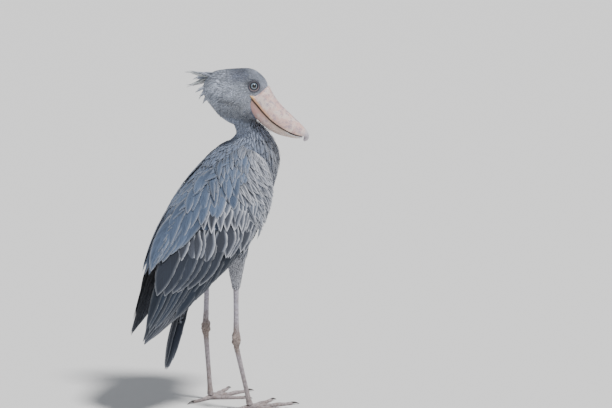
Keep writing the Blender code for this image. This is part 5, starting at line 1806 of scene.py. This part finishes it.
def make_leg(side, material):
    """The bare leg and foot, in one skin with its scales raised."""
    shells = [leg_shell(side)] + [toe_shell(side, toe) for toe in TOES]
    made = mesh_piece("leg_" + side, *join_shells(shells), material)
    fuse(made, LEG_VOXEL, 4)
    points, normals = mesh_points(made)
    rng = np.random.default_rng(71)
    spots, _ = surface_samples(made, SCALE_SAMPLES, rng)
    spots = spots[thinned(spots, SCALE_SPACING)]
    scales = kd_tree(spots)
    gap, own = np.empty(len(points)), np.empty(len(points))
    for i, place in enumerate(points):
        (_, first, near), (_, _, far) = scales.find_n(place, 2)
        gap[i], own[i] = far - near, first
    raised = smooth_step(0.0, SCALE_SEAM, gap)
    middle = ankle_base(side)[2] + ANKLE_HEIGHT * 0.5
    lumps = np.array([noise.noise(Vector(place * KNOB_SCALE)) for place in points])
    knobs = lumps * bump_at(points[:, 2] - middle, 0.030) * KNOB_HEIGHT
    points = points + normals * ((raised - 0.6) * SCALE_RELIEF + knobs)[:, None]
    points[:, 2] = np.maximum(points[:, 2], 0.0)
    move_points(made, points)
    chance = np.random.default_rng(72).uniform(0, 1, len(spots))[own.astype(int)]
    add_vectors(made, "scale", np.stack([raised, chance, points[:, 2]], -1))
    nodes = ["shank_" + side, "ankle_" + side, "tarsus_" + side]
    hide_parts(*nodes, *[f"toe_{toe}_{side}" for toe in TOES])
    return made


def kd_tree(points):
    tree = KDTree(len(points))
    for i, place in enumerate(points):
        tree.insert(place, i)
    tree.balance()
    return tree


def leg_material():
    """Scaled skin: lilac grey on the shank, brown and knobbly at the ankle, dusty below."""
    n = Nodes("leg")
    raised, chance, height = n.parts("scale")
    dust = n.noise(60.0, 4.0, 0.6)
    grain = n.noise(900.0, 2.0, 0.6)
    colour = n.blend(chance, BARE["shank"], BARE["shank light"])
    brown = n.blend(chance, BARE["ankle"], BARE["ankle light"])
    uneven = n.math("ADD", height, n.product(n.math("SUBTRACT", dust, 0.5), 0.10))
    knee = n.ramp(uneven, 0.255, 0.325, 1.0, 0.0)
    low_share = n.ramp(height, 0.02, 0.19, 0.70, 0.45)
    brownness = n.math("MINIMUM", knee, n.math("MAXIMUM", low_share, n.ramp(uneven, 0.160, 0.225)))
    colour = n.blend(brownness, colour, brown)
    colour = n.tint(colour, 0.45, n.ramp(dust, 0.45, 0.7), BARE["dust"])
    colour = n.blend(n.ramp(raised, 0.0, 0.7, 0.80, 0.0), colour, BARE["seam"])
    n.bump(grain, 0.3, 0.0003)
    return n.finish(Base_Color=colour, Roughness=n.ramp(dust, 0.3, 0.7, 0.55, 0.75))


def make_claw(side, toe, material):
    start, _, angle = toe_line(side, toe, np.array(1.0))
    ahead = np.array((math.cos(angle), math.sin(angle), 0.0))
    across = np.array((-math.sin(angle), math.cos(angle), 0.0))
    share, turn = round_grid(0, 1, 24, 20)
    reach = -CLAW_INSIDE + share * (CLAW_LENGTH + CLAW_INSIDE)
    height = CLAW_HEIGHT + CLAW_ARCH * np.sin(np.pi * share) - CLAW_DROP * share
    size = CLAW_RADIUS * (1 - share) ** 0.7 + 0.0004
    points = np.array((start[0], start[1], 0.0)) + ahead * reach[..., None]
    points = points + across * (size * CLAW_FLAT * np.sin(turn))[..., None]
    points[..., 2] = np.maximum(height + size * np.cos(turn), 0.0)
    made = mesh_piece(f"nail_{toe}_{side}", points, ring_faces(24, 20), material)
    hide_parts(f"claw_{toe}_{side}")
    return made


def claw_material():
    n = Nodes("claw")
    grain = n.noise(240.0, 3.0, 0.6)
    colour = n.blend(n.ramp(grain, 0.35, 0.7), BARE["claw"], BARE["claw light"])
    n.bump(grain, 0.3, 0.0003)
    return n.finish(Base_Color=colour, Roughness=0.42)


# Stage


def make_floor():
    bpy.ops.mesh.primitive_plane_add(size=120.0, location=(0.0, 0.0, 0.0))
    floor = bpy.context.object
    floor.name = "floor"
    n = Nodes("floor")
    floor.data.materials.append(n.finish(Base_Color=srgb(226, 226, 226), Roughness=0.9))


def light_scene():
    """A large soft key from above on the camera's right, in a pale room."""
    world = bpy.data.worlds.new("studio")
    world.use_nodes = True
    backdrop = world.node_tree.nodes["Background"]
    backdrop.inputs["Color"].default_value = (0.90, 0.94, 1.0, 1.0)
    backdrop.inputs["Strength"].default_value = WORLD_STRENGTH
    bpy.context.scene.world = world
    data = bpy.data.lights.new("key", "SUN")
    data.angle, data.energy, data.color = KEY_ANGLE, KEY_STRENGTH, (1.0, 0.985, 0.965)
    key = bpy.data.objects.new("key", data)
    key.rotation_euler = Vector(KEY_FROM).to_track_quat("Z", "Y").to_euler()
    bpy.context.scene.collection.objects.link(key)


def aim_camera():
    """The camera stands where the photograph was taken from."""
    a, e = VIEW_AZIMUTH, VIEW_ELEVATION
    back = Vector((math.sin(a) * math.cos(e), -math.cos(a) * math.cos(e), math.sin(e)))
    data = bpy.data.cameras.new("camera")
    data.lens, data.sensor_width = VIEW_LENS, VIEW_SENSOR
    data.clip_end = 200.0
    camera = bpy.data.objects.new("camera", data)
    camera.location = Vector(VIEW_AIM) + PLACE + back * VIEW_DISTANCE
    camera.rotation_euler = back.to_track_quat("Z", "Y").to_euler()
    bpy.context.scene.collection.objects.link(camera)
    bpy.context.scene.camera = camera


def make_bird():
    """Every piece of the bird."""
    feathers = vane_material()
    horn = bill_material("bill", False)
    upper = bill_piece("bill_upper", [upper_bill_shape(), nail_shape()], horn, "upper_bill")
    lower = bill_piece("bill_lower", [lower_bill_shape()], bill_material("bill_lower", True), "lower_bill")
    skin = make_skin()
    graph = bpy.context.evaluated_depsgraph_get()
    tree, *bills = (BVHTree.FromObject(piece, graph) for piece in (skin, upper, lower))
    pieces = [skin, upper, lower, make_crest(feathers), make_mantle(feathers), make_tail(feathers)]
    pieces += make_head_coat(skin, tree, bills, feathers)
    pieces += make_body_coat(skin, tree, feathers)
    for seed, side in enumerate(SIDE_SIGN):
        for k, group in enumerate(WING_GROUPS):
            pieces.append(make_wing_tiers(side, group, feathers, 100 + 20 * seed + 3 * k))
        pieces.append(make_lesser_coverts(side, feathers, 150 + seed))
    eye, lid, leg, claw = eye_material(), lid_material(), leg_material(), claw_material()
    for side in SIDE_SIGN:
        pieces += [make_eye(side, eye), make_lids(side, lid), make_leg(side, leg)]
        pieces += [make_claw(side, toe, claw) for toe in TOES]
    for piece in pieces:
        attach(piece, "root")


make_bird()
make_floor()
light_scene()
aim_camera()
